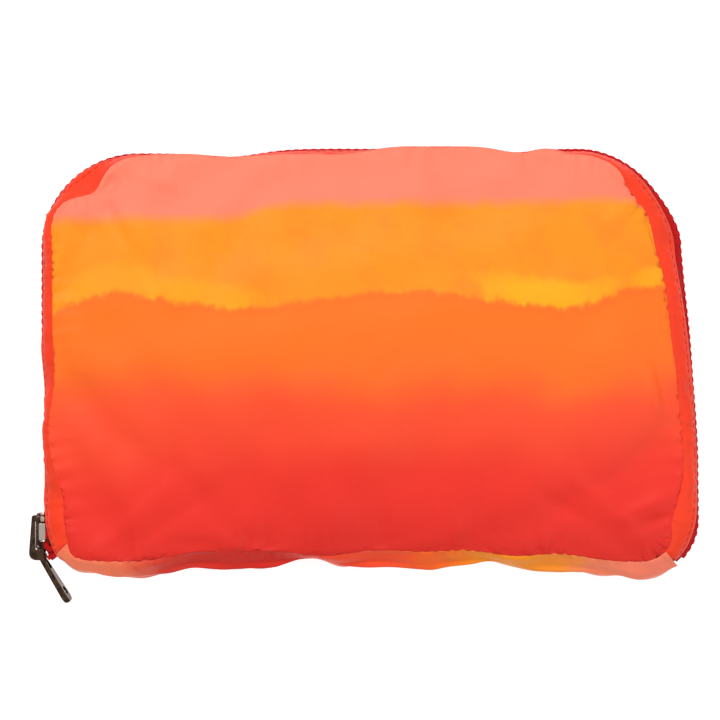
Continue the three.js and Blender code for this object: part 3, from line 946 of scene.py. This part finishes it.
def strip(name, side, body, node, seed):
    """A plain strip: up from its folded edge beside the zipper to the panel's seam."""
    rows = WALL_AT[: FRONT_EDGE + 1] if side > 0 else WALL_AT[: BACK_EDGE - 1 : -1]
    places = np.linspace(0, len(BAND) - 1, int((S_LEFT - S_RIGHT) / (0.75 * MM)))
    down = np.linspace(0, FRONT_EDGE, 15)
    cloth = 0.3 * POUCH[rows[:, BAND]] + 0.7 * START[rows[:, BAND]]
    grid = sample(sample(cloth, places, 1), down, 0)
    s = band_lengths(BAND, places)
    normal = normals_of(grid) * side
    t = (down / FRONT_EDGE)[:, None]
    seam = pucker(s[None], t * 7.2 * MM, 11 if side > 0 else 31, 3.5 * MM)
    wide = Waves(9 * MM, 2, seed)(s[None] + 0 * t, t * 3 * MM)
    wide = wide + 1.1 * Waves(24 * MM, 2, seed + 3)(s[None] + 0 * t, t * 7 * MM)
    bunch = Waves(4.2 * MM, 1, seed + 1)(s)[None] * np.exp(-(((1 - t) * 7 - 1.5) ** 2) / 2)
    lift = 0.35 * seam * (1 - t) + (0.14 * wide + 0.1 * bunch) * MM * np.sin(math.pi * t) ** 0.5
    low = 1 - 0.8 * smooth((at(s)[0][:, 1] - 60 * MM) / (10 * MM))[None]
    lift = low * (lift + 0.9 * MM * np.sin(math.pi * t) ** 0.8)
    lift = lift - 0.16 * MM * np.exp(-((((1 - t) * 7.2 - 1.5) / 0.5) ** 2))
    lift = lift * smooth(t * 7.2 / 1.2)
    from_end = np.minimum(s - s[0], s[-1] - s)[None]
    lift = lift * smooth(from_end / (8 * MM)) - 0.7 * MM * (1 - smooth(from_end / (5.5 * MM)))
    grid = notched(grid + normal * lift[..., None], s[None] + 0 * t, t * 7.2 * MM + 0 * s[None], side)
    flat = np.dstack([np.broadcast_to(s, grid.shape[:2]), t * 7.2 * MM + 0 * s[None]])
    outer = grid
    grid, flat = with_fold(grid, normal, flat, side)
    obj = sheet_object(name, grid, flat, STRIP)
    if side < 0:
        obj.data.flip_normals()
    thicken(obj, 0.3 * MM, LINING)
    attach(obj, body)
    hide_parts(node)
    stitches(name.replace("cloth", "stitches"), outer[10:13], side, body, STRIP_THREAD)


def with_fold(grid, normal, flat, side):
    """Carries the strip on round its folded edge and back up inside."""
    edge, out = grid[-1], normal[-1]
    down = unit(grid[-1] - grid[-2])
    rows, flats = [grid], [flat]
    r = 0.5 * MM
    for a in (45, 90, 135, 180):
        a = math.radians(a)
        rows.append((edge + down * r * math.sin(a) - out * r * (1 - math.cos(a)))[None])
        flats.append(flat[-1:] + np.array([0, r * a]))
    for back in (3, 6, 8):
        rows.append((grid[-1 - back] - normal[-1 - back] * 2 * r)[None])
        flats.append(flats[4] + np.array([0, 0.5 * back * MM]))
    return np.concatenate(rows), np.concatenate(flats)


strip("front_strip_cloth", 1, "lid", "front_zip_strip", 51)
strip("back_strip_cloth", -1, "case", "back_zip_strip", 61)


def gusset_fullness(x):
    """How far the gusset stands out along its length, in millimetres: drawn in at two tucks."""
    middle = 1 + 0.24 * smooth((x - 84) / 10) - 0.14 * np.exp(-(((x - 74) / 11) ** 2))
    middle = middle * (1 - 0.35 * np.exp(-(((x + 97) / 8) ** 2)))
    tucks = 0.8 * np.exp(-(((x + 21) / 9) ** 2)) + 0.45 * np.exp(-(((x - 43) / 10) ** 2))
    return middle * (1 - tucks) + 0.1


def gusset():
    """The printed band under the hinge, from seam to seam."""
    places = np.linspace(0, len(GUSSET) - 1, 260)
    down = np.linspace(0, ROWS, 49)
    cloth = POUCH[WALL_AT[:, GUSSET]]
    for _ in range(8):
        cloth[1:-1, 1:-1] = (cloth[1:-1, :-2] + 2 * cloth[1:-1, 1:-1] + cloth[1:-1, 2:]) / 4
    grid = sample(sample(cloth, places, 1), down, 0)
    s = band_lengths(GUSSET, places)
    t = (down / ROWS)[:, None]
    chord = grid[:1] * (1 - t[..., None]) + grid[-1:] * t[..., None]
    full = gusset_fullness(grid[:1, :, :1] / MM)
    grid[..., :2] = (chord + (grid - chord) * full)[..., :2]
    normal = normals_of(grid)
    width = 27 * MM
    edges = np.minimum(t, 1 - t) * width
    lift = pucker(s[None] + 0 * t, edges, 11, 6 * MM)
    lift += 0.22 * MM * Waves(16 * MM, 2, 71)(s[None] + 0 * t, t * width) * np.sin(math.pi * t)
    lift = lift * smooth(edges / (1.4 * MM))
    from_end = np.minimum(s - s[0], s[-1] - s)[None]
    lift = lift * smooth(from_end / (3 * MM)) + 0.35 * MM * (1 - smooth(from_end / (2.5 * MM)))
    way = np.where(t < 0.5, 1, -1)
    grid = notched(grid + normal * lift[..., None], s[None] + 0 * t, edges + 0 * s[None], way)
    flat = np.dstack([grid[..., 0], t * width + 0 * s[None]])
    obj = sheet_object("gusset_cloth", grid, flat, GUSSET_PRINT)
    thicken(obj, 0.3 * MM, GUSSET_BACK)
    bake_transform(obj)
    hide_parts("bottom_gusset")


gusset()

# ---- The zipper ----
PITCH = 3.0 * MM
TAPE_RED = linear(190, 12, 16)
TEETH_RED = linear(205, 16, 18)


def herringbone(n, where, height, pitch):
    """Slanting ribs that turn back and forth, from -1 to 1."""
    x, y, _ = n.split(where)
    return n.sine(n.plus(x, n.math("PINGPONG", y, height)), 2 * math.pi / pitch)


def zipper_tape_material():
    n = Nodes("zipper_tape")
    where = n.pattern()
    ribs = herringbone(n, where, 0.9, 0.55)
    fuzz = n.times(n.noise(where, 4.0, 4.0, 0.7), 0.12)
    colour = n.mix(n.scaled(ribs, 0.2, 0.25), TAPE_RED, linear(150, 8, 14))
    return n.finish(
        Base_Color=n.mix(fuzz, colour, linear(226, 70, 60)),
        Roughness=0.8,
        Sheen_Weight=0.03,
        Specular_IOR_Level=0.08,
        Normal=n.bump(ribs, 0.5, 0.08),
    )


def zipper_teeth_material():
    n = Nodes("zipper_teeth")
    where = n.place()
    cloudy = n.times(n.noise(where, 0.35, 4.0, 0.6), 0.5)
    scratch = n.noise(where, 1.6, 5.0, 0.7, (1.0, 1.0, 6.0))
    return n.finish(
        Base_Color=n.mix(cloudy, TEETH_RED, linear(165, 8, 12)),
        Roughness=n.scaled(scratch, 0.2, 0.4),
        Specular_IOR_Level=0.14,
        Normal=n.bump(scratch, 0.15, 0.05),
    )


TAPE = zipper_tape_material()
TEETH = zipper_teeth_material()

# Half of a tooth's plan, root first: distance along the chain and height above the middle line.
TOOTH = [(0.95, 3.1), (1.0, 1.9), (0.62, 1.2), (0.55, 0.5), (0.85, 0.0), (0.8, -0.55), (0.45, -0.9)]
TOOTH_LAYERS = [(-1.2, 0.8), (-1.02, 1.0), (1.02, 1.0), (1.2, 0.8)]  # thickness and share of the plan


def tooth():
    """One moulded tooth: points (along, thickness, height) in millimetres, and faces."""
    ring = TOOTH + [(-x, z) for x, z in reversed(TOOTH)]
    middle = np.mean(ring, axis=0)
    points = [
        (middle[0] + (x - middle[0]) * k, t, middle[1] + (z - middle[1]) * k)
        for t, k in TOOTH_LAYERS
        for x, z in ring
    ]
    n = len(ring)
    faces = []
    for layer in range(len(TOOTH_LAYERS) - 1):
        for i in range(n):
            a, b = layer * n + i, layer * n + (i + 1) % n
            faces.append((a, b, b + n, a + n))
    faces.append(tuple(range(n))[::-1])
    faces.append(tuple(range((len(TOOTH_LAYERS) - 1) * n, len(TOOTH_LAYERS) * n)))
    return np.array(points) * MM, faces


def chain_frame(s):
    """Middle of the teeth's thickness, outward normal and direction along the chain."""
    inset = np.full(np.shape(s), CHAIN_INSET)
    middle = inset_line(s, inset)
    along = unit(inset_line(s + 0.5 * MM, inset) - inset_line(s - 0.5 * MM, inset))
    out = np.stack([along[..., 1], -along[..., 0]], axis=-1)
    return middle, out, along


def ripple(s):
    """The closed chain rises and dips a little between its pinned ends."""
    left = smooth((at(s)[0][..., 0] + 108 * MM) / (20 * MM))
    return 0.45 * MM * Waves(45 * MM, 1, 81)(s) * left


S_START = on_corner("br", -40)
S_FRONT_END = s_near(-HALF_W, -51.7 * MM)
S_BACK_END = s_near(-HALF_W, -61.7 * MM)
S_CORNER = s_near(-HALF_W, -58.5 * MM)
S_CORNER_END = on_corner("bl", 219)


def teeth_row(name, side, end, body, nodes):
    shape, faces = tooth()
    first = S_START + (0.0 if side > 0 else PITCH / 2)
    stations = np.arange(first, end - 0.9 * MM, PITCH)
    middle, out, along = chain_frame(stations)
    facing = faces if side > 0 else [f[::-1] for f in faces]
    points, all_faces = [], []
    for i, (m, o, a, r) in enumerate(zip(middle, out, along, ripple(stations))):
        xy = m + shape[:, :1] * a + shape[:, 1:2] * o
        points.append(np.column_stack([xy, MID_Z + r + side * shape[:, 2]]))
        all_faces += [tuple(v + i * len(shape) for v in f) for f in facing]
    obj = new_object(name, np.vstack(points), all_faces, TEETH)
    bevelled(obj, 0.14 * MM, 1).limit_method = "ANGLE"
    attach(obj, body)
    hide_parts(*nodes)


teeth_row("front_teeth", 1, S_FRONT_END, "lid", ["front_teeth_round", "front_teeth_left"])
teeth_row("back_teeth", -1, S_BACK_END, "case", ["back_teeth_round", "back_teeth_left"])


# The tape's section: inset from the chain's middle and height above the middle line, in millimetres.
TAPE_SECTION = [(0, 1.9), (0, 3.2), (0, 4.6), (0.5, 5.4), (1.4, 6.0), (2.2, 6.6), (3.2, 7.3)]


def tape(name, side, start, end, body, node, seed, crumple=0.0):
    s = np.arange(start, end, 0.7 * MM)
    middle, out, _ = chain_frame(s)
    section = sample(np.array(TAPE_SECTION), np.linspace(0, len(TAPE_SECTION) - 1, 19), 0) * MM
    spare = np.maximum(edge_inset(s) - EDGE_INSET, 0)
    inset = section[:, :1] + spare[None] * smooth((section[:, 1:] - 3.2 * MM) / (2 * MM))
    held = smooth((section[:, 1:] - 3.4 * MM) / (2.0 * MM))
    z = MID_Z + ripple(s)[None] * (1 - held) + side * section[:, 1:]
    grid = np.dstack([middle[None] - out[None] * inset[..., None], z])
    normal = normals_of(grid)
    free = smooth((section[:, 1:] - 2 * MM) / (3 * MM))
    if crumple:
        free = free * smooth((6.3 * MM - section[:, 1:]) / (1.2 * MM))
    crease = Waves((3.6 if crumple else 7) * MM, 2, seed)(s[None] + 0 * z, section[:, 1:] + 0 * z)
    grid = grid + normal * (crease * free * (0.08 + crumple))[..., None] * MM
    flat = np.dstack([s[None] + 0 * z, section[:, 1:] + 0 * z])
    obj = sheet_object(name, grid, flat, TAPE)
    thicken(obj, 0.5 * MM)
    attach(obj, body)
    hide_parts(node)


S_TAPE = on_corner("br", -50)
tape("front_tape", 1, S_TAPE, S_FRONT_END, "lid", "front_zipper_tape", 91)
tape("back_tape", -1, S_TAPE, S_BACK_END, "case", "back_zipper_tape", 92)
tape("front_tape_tail", 1, S_CORNER, S_CORNER_END, "lid", "front_tape_end", 93, 0.9)
tape("back_tape_tail", -1, S_CORNER, S_CORNER_END, "case", "back_tape_end", 94, 0.9)


# ---- Inside: the seam bindings, the stops and the folded tote ----
def webbing(n, where):
    """Strap webbing: a herringbone rib in the plain nylon's red."""
    shade = n.scaled(herringbone(n, where, 2.5, 1.1), 0.22, 0.3)
    return n.mix(shade, linear(240, 62, 36), linear(176, 30, 22))


WEBBING = nylon("strap_nylon", webbing, roughness=0.6, sheen=0.1)
WEBBING_THREAD = thread_material("thread_pale", linear(255, 150, 120))


def binding(name, side, body, node, seed):
    """A folded tape that closes the raw edges just inside a panel's seam."""
    places = np.linspace(0, len(BAND) - 1, 3 * len(BAND))
    s = band_lengths(BAND, places)
    line = seam_line(s)
    _, normal = at(s)
    section = [(2.0, 0), (3.0, -0.15), (4.2, -0.1), (5.2, -0.45)]
    section += [(4.2, -0.9), (3.0, -1.0), (2.0, -1.1), (1.6, -0.55)]
    rows = []
    for k, (inset, z) in enumerate(section):
        wobble = 0.22 * Waves(9 * MM, 1, seed + (k > 3))(s) * (k in (2, 3, 4))
        xy = line - normal * (inset + wobble)[:, None] * MM
        rows.append(np.column_stack([xy, MID_Z + side * (SEAM_RISE + (z - 2.2 + 0.5 * wobble) * MM)]))
    grid = np.array(rows[:: -side]).transpose(1, 0, 2)
    flat = np.dstack([s[:, None] + 0 * grid[..., 0], np.arange(8)[None] * MM + 0 * grid[..., 0]])
    obj = sheet_object(name, grid, flat, LINING, round_again=True)
    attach(obj, body)
    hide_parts(node)


binding("front_binding", 1, "lid", "front_seam_binding", 101)
binding("back_binding", -1, "case", "back_seam_binding", 103)


def stop(name, side, body, node):
    """The moulded block that ends a row of teeth."""
    s = on_corner("bl", 212.5)
    middle, out, along = chain_frame(np.array([s]))
    block_of = bmesh.new()
    bmesh.ops.create_cube(block_of, size=1.0)
    for v in block_of.verts:
        a, o, z = v.co.x * 1.7 * MM, v.co.y * 2.2 * MM, 1.9 * MM * v.co.z + 2.05 * MM
        xy = middle[0] + along[0] * a + out[0] * o
        v.co = (xy[0], xy[1], MID_Z + side * z)
    bmesh.ops.recalc_face_normals(block_of, faces=block_of.faces)
    mesh = bpy.data.meshes.new(name)
    block_of.to_mesh(mesh)
    block_of.free()
    mesh.materials.append(TEETH)
    obj = linked(name, mesh)
    bevelled(obj, 0.3 * MM, 3)
    shade_smooth(obj)
    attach(obj, body)
    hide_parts(node)


stop("front_stop", 1, "lid", "front_top_stop")
stop("back_stop", -1, "case", "back_top_stop")


def serpentine(half, layers, gap, low):
    """Points (x, z) of cloth folded back and forth between two ends, from the bottom up."""
    xs, zs = [], []
    for k in range(layers):
        way = 1 if k % 2 == 0 else -1
        run = half * way * denser_at_ends(1, 46, 0.8) * 2 - half * way
        xs.append(run)
        zs.append(np.full(46, low + k * gap))
        if k < layers - 1:
            a = np.linspace(0, math.pi, 8)[1:-1]
            xs.append(way * (half + gap / 2 * np.sin(a)))
            zs.append(low + (k + 0.5 - 0.5 * np.cos(a)) * gap)
    return np.concatenate(xs), np.concatenate(zs)


def folded(name, node, layers, thickness, material, slot, seed, radius=26.0, shift=0.0, loft=1.0):
    """Cloth folded back and forth on a CAD solid's box, its corners rounded like the pouch's."""
    low, high = (np.array(v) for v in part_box(node))
    gap = loft * (high[2] - low[2] - 1.25 * thickness) / (layers - 1)
    reach = (high[0] - low[0]) / 2 - gap / 2 - thickness
    x, z = serpentine(reach, layers, gap, low[2] + 0.62 * thickness)
    run = run_of(np.column_stack([x, z]))
    half = (high[1] - low[1]) / 2
    r = radius * MM
    past = np.clip(np.abs(x) - (reach - r), 0, r)
    width = half - r + np.sqrt(np.maximum(r * r - past**2, 0.15 * r * r))
    across = np.linspace(-1, 1, 33)
    y = across[None] * width[:, None]
    layer = (z - z[0]) / gap
    edge = Waves(40 * MM, 2, seed)(x, 30 * MM * np.round(layer))
    y = y * (1 - 0.012 - 0.012 * edge[:, None])
    middle = (low + high) / 2
    grid = np.dstack([middle[0] + x[:, None] + 0 * y, middle[1] + y, z[:, None] + 0 * y])
    bow = 4 * MM * (loft - 1) * Waves(150 * MM, 2, seed + 3)(x, 60 * MM * np.round(layer))
    grid[..., 1] += 3 * bow[:, None]
    slack = 0.42 * (gap - thickness)
    rumple = Waves(22 * MM, 3, seed + 1)(grid[..., 0], y, 12 * MM * layer[:, None] + 0 * y)
    rim = Waves(12 * MM, 2, seed + 2)(x[:, None] + 0 * y, 9 * MM * layer[:, None] + 0 * y)
    rim = np.abs(across)[None] ** 6 * rim
    grid[..., 2] += np.clip(slack * (0.55 * rumple + 0.6 * rim), -slack, slack)
    if slot != "strap_nylon":
        grid[..., :2] = settle(grid[..., :2] * 0.955)
    flat = np.dstack([run[:, None] - run[-1] / 2 + 0 * y, y + shift * MM])
    obj = sheet_object(name, grid, flat, material)
    thicken(obj, thickness)
    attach(obj, "case")
    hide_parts(node)
    return grid


# Name, CAD solid, layers, thickness in millimetres, material, slot, and how far the print is shifted.
FOLDED = [
    ("back_body_cloth", "tote_back_body", 5, 0.5, PRINT, "printed_nylon", 0),
    ("left_gusset_cloth", "tote_side_gusset_left", 3, 0.6, PRINT, "printed_nylon", -20),
    ("right_gusset_cloth", "tote_side_gusset_right", 3, 0.6, PRINT, "printed_nylon", -20),
    ("base_cloth", "tote_base_panel", 2, 0.8, LINING, "lining_nylon", 0),
    ("front_body_cloth", "tote_front_body", 5, 0.5, PRINT, "printed_nylon", 10),
    ("hem_cloth", "tote_top_hem", 2, 0.8, PRINT, "printed_nylon", 25),
]
for index, (name, node, layers, thick, material, slot, shift) in enumerate(FOLDED):
    folded(name, node, layers, thick * MM, material, slot, 120 + 5 * index, shift=shift)

for index, part in enumerate(("front", "back")):
    strap = (f"{part}_strap", f"carry_strap_{part}", 3, 1.0 * MM, WEBBING, "strap_nylon")
    top = folded(*strap, 160 + 5 * index, radius=2.0, loft=1.1)[-46:]
    for edge, columns in (("near", [2, 3, 4]), ("far", [28, 29, 30])):
        lines = top[:, columns].transpose(1, 0, 2) + np.array([0, 0, 0.5 * MM])
        way = 1 if lines[2, 0, 1] > lines[0, 0, 1] else -1
        stitches(f"{part}_strap_stitches_{edge}", lines, way, "case", WEBBING_THREAD)


# ---- The slider and its pull ----
def gunmetal_material():
    n = Nodes("gunmetal")
    where = n.place()
    cloudy = n.step(n.noise(where, 0.5, 5.0, 0.65), 0.35, 0.7)
    scratch = n.noise(where, 2.2, 6.0, 0.7, (1.0, 5.0, 1.0))
    # Pale streaks: partly wear, partly painted highlight on the dark metal.
    wear_and_glint = n.times(n.step(scratch, 0.6, 0.75), 0.35)
    colour = n.mix(cloudy, linear(98, 74, 58), linear(48, 37, 31))
    return n.finish(
        Base_Color=n.mix(wear_and_glint, colour, linear(176, 150, 128)),
        Metallic=1.0,
        Roughness=n.scaled(scratch, 0.2, 0.12),
        Normal=n.bump(scratch, 0.12, 0.05),
    )


# A lighter copy of the gunmetal: painted highlight on the slider's faces that turn up to the light.
def lit_face_metal_material():
    n = Nodes("gunmetal_lit_face")
    grain = n.noise(n.place(), 1.4, 5.0, 0.7, (1.0, 7.0, 1.0))
    return n.finish(
        Base_Color=n.mix(grain, linear(196, 184, 172), linear(150, 138, 128)),
        Metallic=0.85,
        Roughness=n.scaled(grain, 0.25, 0.28),
        Normal=n.bump(grain, 0.3, 0.08),
    )


GUNMETAL = gunmetal_material()
LIT_FACE_METAL = lit_face_metal_material()
SLIDER_AT = Vector((-HALF_W + CHAIN_INSET, -59.75 * MM, MID_Z))


def prism(points, low, high, material):
    """A bmesh prism: a plan of points in millimetres is drawn up between two heights."""
    bm = bmesh.new()
    bottom, top = ([bm.verts.new((x * MM, y * MM, z * MM)) for x, y in points] for z in (low, high))
    n = len(points)
    bm.faces.new(bottom[::-1])
    bm.faces.new(top)
    for i in range(n):
        bm.faces.new((bottom[i], bottom[(i + 1) % n], top[(i + 1) % n], top[i]))
    for f in bm.faces:
        f.material_index = material
    return bm


def rounded(points, radii, steps=5):
    """A closed loop of points with each corner rounded by its radius."""
    out = []
    n = len(points)
    for i, (p, r) in enumerate(zip(points, radii)):
        a, b = np.array(points[i - 1], float), np.array(points[(i + 1) % n], float)
        p = np.array(p, float)
        u, v = (a - p) / np.linalg.norm(a - p), (b - p) / np.linalg.norm(b - p)
        if r <= 0:
            out.append(tuple(p))
            continue
        turn = math.acos(np.clip(u @ v, -1, 1))
        reach = min(r / math.tan(turn / 2), 0.49 * np.linalg.norm(a - p), 0.49 * np.linalg.norm(b - p))
        start, end = p + u * reach, p + v * reach
        for t in np.linspace(0, 1, steps + 1):
            out.append(tuple((1 - t) ** 2 * start + 2 * t * (1 - t) * p + t * t * end))
    return out


def joined(name, parts, body, nodes, materials, bevel=0.22, segments=3):
    """One object from several bmeshes, placed at the slider and turned to face out of the pouch."""
    mesh = bpy.data.meshes.new(name)
    whole = bmesh.new()
    for bm in parts:
        piece = bpy.data.meshes.new("part")
        bm.to_mesh(piece)
        bm.free()
        whole.from_mesh(piece)
        bpy.data.meshes.remove(piece)
    for v in whole.verts:
        v.co = SLIDER_AT + Vector((-v.co.x, v.co.y, -v.co.z))
    bmesh.ops.recalc_face_normals(whole, faces=whole.faces)
    whole.to_mesh(mesh)
    whole.free()
    obj = linked(name, mesh)
    for m in materials:
        mesh.materials.append(m)
    shade_smooth(obj)
    edge = bevelled(obj, bevel * MM, segments)
    edge.limit_method = "ANGLE"
    edge.angle_limit = math.radians(32)
    edge.harden_normals = True
    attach(obj, body)
    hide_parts(*nodes)
    return obj


def turned(bm, matrix_rows):
    """Moves the axes of a bmesh: each row gives one new coordinate as weights of the old ones."""
    for v in bm.verts:
        v.co = Vector([sum(w * c for w, c in zip(row, v.co)) for row in matrix_rows])
    return bm


YZ_TO_XYZ = ((0, 0, 1), (0, 1, 0), (1, 0, 0))  # a plan drawn in (z, y) and raised along x


def block(x, y, z, material=0, radius=0.0):
    """A box between ranges, with rounded corners in its (x, y) plan."""
    plan = [(x[0], y[0]), (x[1], y[0]), (x[1], y[1]), (x[0], y[1])]
    return prism(rounded(plan, [radius] * 4) if radius else plan, z[0], z[1], material)


def slider_body():
    plan = [(-1.2, -6.75), (1.2, -6.75), (2.4, -6.0), (4.8, -2.4), (4.8, 6.4), (3.6, 7.25)]
    plan += [(-3.6, 7.25), (-4.8, 6.4), (-4.8, -2.4), (-2.4, -6.0)]
    plan = rounded(plan, [1.0, 1.0, 1.5, 1.6, 1.2, 1.0, 1.0, 1.2, 1.6, 1.5], 3)
    parts = [turned(prism(plan, x, x + 1.2, 0), YZ_TO_XYZ) for x in (1.45, -2.65)]
    parts.append(block((-2.0, 2.0), (-6.2, -2.9), (-0.75, 0.75), radius=0.5))
    for z in (3.7, -4.8):
        parts.append(block((0.6, 2.0), (-2.3, 6.3), (z, z + 1.1)))
        parts.append(block((-2.0, -0.6), (-2.3, 6.3), (z, z + 1.1)))
    parts.append(block((2.45, 3.2), (-4.9, 6.0), (-2.3, 2.3), radius=0.3))
    parts.append(round_pin((2.3, -4.4), 0.9, -3.4, 2.7))
    # The pin's end and the two plates below take the lighter copy of the gunmetal: painted highlight.
    parts.append(round_pin((2.3, -4.4), 0.34, -3.75, 2.85, 1, 12))
    parts.append(block((-0.55, 1.85), (-2.1, 3.8), (-5.15, -4.7), 1, 0.35))
    parts.append(block((-0.3, 1.3), (4.3, 6.2), (-5.1, -4.6), 1, 0.75))
    for z in (-3.2, 2.6):
        parts.append(block((0.2, 3.3), (-8.3, -5.4), (z, z + 0.6), radius=0.8))
    joined("slider_wings", parts, "slider", ["slider_body"], [GUNMETAL, LIT_FACE_METAL])


def slider_crown():
    outer = [(2.8, 6.4), (4.7, 6.4), (5.9, -9.4), (-0.5, -9.4), (-0.5, -7.05)]
    inner = [(0.6, -7.05), (0.6, -8.0), (3.5, -8.0), (3.6, 4.2), (2.8, 4.2)]
    side = rounded([*outer, *inner], [0.3, 1.6, 3.0, 0.6, 0.2, 0.2, 0.2, 1.2, 0.2, 0.2], 6)
    bridge = prism(side, -1.3, 1.3, 0)
    joined("slider_bridge", [bridge], "slider", ["slider_crown"], [GUNMETAL], 0.5, 4)


def round_pin(middle, radius, low, high, material=0, sides=20):
    ring = [
        (middle[0] + radius * math.cos(a), middle[1] + radius * math.sin(a))
        for a in np.linspace(0, 2 * math.pi, sides, endpoint=False)
    ]
    return prism(ring, low, high, material)


PULL_TWIST = math.radians(10)  # it hangs a little turned about its own length


def pull_tab():
    """A cast tab: two rails down from its bar, a thicker blade below them, and an eye at its end."""
    end, lean = 19.4, math.radians(-31.5)
    tip = [-end + d for d in (3.0, 2.4, 1.9, 0)]
    side = [(-0.45, 0.45), (0.45, 0.45), (0.85, -2.0), *((1.05, y) for y in tip)]
    side += [*((-1.05, y) for y in reversed(tip)), (-0.85, -2.0)]
    side = rounded(side, [0.2, 0.2, 1.5, 0, 0, 0, 1.1, 1.1, 0, 0, 0, 1.5], 6)
    blade = prism(side, -2.4, 2.4, 0)
    for v in blade.verts:
        v.co.z *= math.sqrt(max(0.12, 1 - max(0.0, (-v.co.y / MM - end + 2.4) / 2.4) ** 2))
    cutters = [
        block((-4, 4), (-6.0, -0.45), (-1.5, 1.5)),
        turned(prism(stadium(1.25, 3.2), -4, 4, 0), YZ_TO_XYZ),
    ]
    for v in cutters[1].verts:
        v.co.y += (-end + 4.3) * MM
    obj = joined("pull_blade", [blade], "pull", ["pull_tab"], [GUNMETAL], 0.5, 4)
    mesh = obj.data
    for v in mesh.vertices:
        local = v.co - SLIDER_AT
        v.co = Vector((-local.x, local.y, -local.z))
    for k, cutter in enumerate(cutters):
        hole = bpy.data.meshes.new("hole")
        bmesh.ops.recalc_face_normals(cutter, faces=cutter.faces)
        cutter.to_mesh(hole)
        cutter.free()
        cut = obj.modifiers.new(f"cut_{k}", "BOOLEAN")
        cut.operation = "DIFFERENCE"
        cut.solver = "EXACT"
        cut.object = linked(f"hole_{k}", hole)
        obj.modifiers.move(len(obj.modifiers) - 1, k)
    bpy.context.view_layer.update()
    seen = obj.evaluated_get(bpy.context.evaluated_depsgraph_get())
    made = bpy.data.meshes.new_from_object(seen)
    obj.modifiers.clear()
    obj.data = made
    for k in range(len(cutters)):
        bpy.data.objects.remove(bpy.data.objects[f"hole_{k}"])
    cos, sin = math.cos(lean), math.sin(lean)
    for v in made.vertices:
        x, y, z = v.co
        twist = PULL_TWIST * smooth(-y / (6 * MM))
        x, v.co.z = x * math.cos(twist) - z * math.sin(twist), x * math.sin(twist) + z * math.cos(twist)
        x, y = x * cos - y * sin + 1.8 * MM, x * sin + y * cos - 7.45 * MM
        v.co = SLIDER_AT + Vector((-x, y, -v.co.z))


def stadium(radius, length):
    """A slot's plan: two half circles joined by straight sides."""
    out = []
    for centre, start in ((length / 2 - radius, 0), (radius - length / 2, 180)):
        for a in range(start, start + 181, 20):
            a = math.radians(a)
            out.append((radius * math.cos(a), centre + radius * math.sin(a)))
    return out


slider_body()
slider_crown()
pull_tab()


# ---- Stage ----
PAPER = 3.0  # m, half of the paper's side
UNDER = -0.2 * MM  # the paper lies just under the pouch
PAPER_GLOW = 0.8
WORLD_LIGHT = (0.05, 0.75, 0.22, 0.66)  # between these heights of the sky, from and to these strengths
LAMPS = [  # name, place and size in metres, and power in watts
    ("key", (-0.35, 0.75, 1.1), (1.2, 0.7), 12),
    ("fill", (0.8, -0.3, 1.0), (0.9, 0.9), 4),
]
SENSOR = 36  # mm
SEEN_WIDTH = 0.2516  # m of the scene across the picture, at one metre
CAMERA_AT = (-0.0035, 0.001, 1.0 + 0.022)


def stage():
    scene = bpy.context.scene
    sides = ((-PAPER, -PAPER), (PAPER, -PAPER), (PAPER, PAPER), (-PAPER, PAPER))
    white = (1, 1, 1, 1)
    paper = Nodes("floor_paper").finish(
        Base_Color=(0.4, 0.4, 0.4, 1), Roughness=0.9, Emission_Color=white, Emission_Strength=PAPER_GLOW
    )
    floor = new_object("floor", [(*side, UNDER) for side in sides], [(0, 1, 2, 3)], paper)
    world = bpy.data.worlds.new("studio")
    scene.world = world
    world.use_nodes = True
    tree = world.node_tree
    where = tree.nodes.new("ShaderNodeTexCoord")
    parts = tree.nodes.new("ShaderNodeSeparateXYZ")
    tree.links.new(where.outputs["Generated"], parts.inputs[0])
    height = tree.nodes.new("ShaderNodeMapRange")
    for k, value in enumerate(WORLD_LIGHT):
        height.inputs[k + 1].default_value = value
    tree.links.new(parts.outputs[2], height.inputs[0])
    tree.links.new(height.outputs[0], tree.nodes["Background"].inputs[1])
    tree.nodes["Background"].inputs[0].default_value = white
    for name, place, size, power in LAMPS:
        light = bpy.data.lights.new(name, "AREA")
        light.shape = "RECTANGLE"
        light.size, light.size_y = size
        light.energy = power
        lamp = linked(name, light)
        lamp.location = place
        lamp.rotation_euler = (-Vector(place)).to_track_quat("-Z", "Y").to_euler()
    camera = bpy.data.cameras.new("camera")
    camera.sensor_width = SENSOR
    camera.lens = SENSOR / SEEN_WIDTH
    camera.clip_end = 10
    scene.camera = linked("camera", camera)
    scene.camera.location = CAMERA_AT
    scene.view_settings.view_transform = "Standard"


stage()
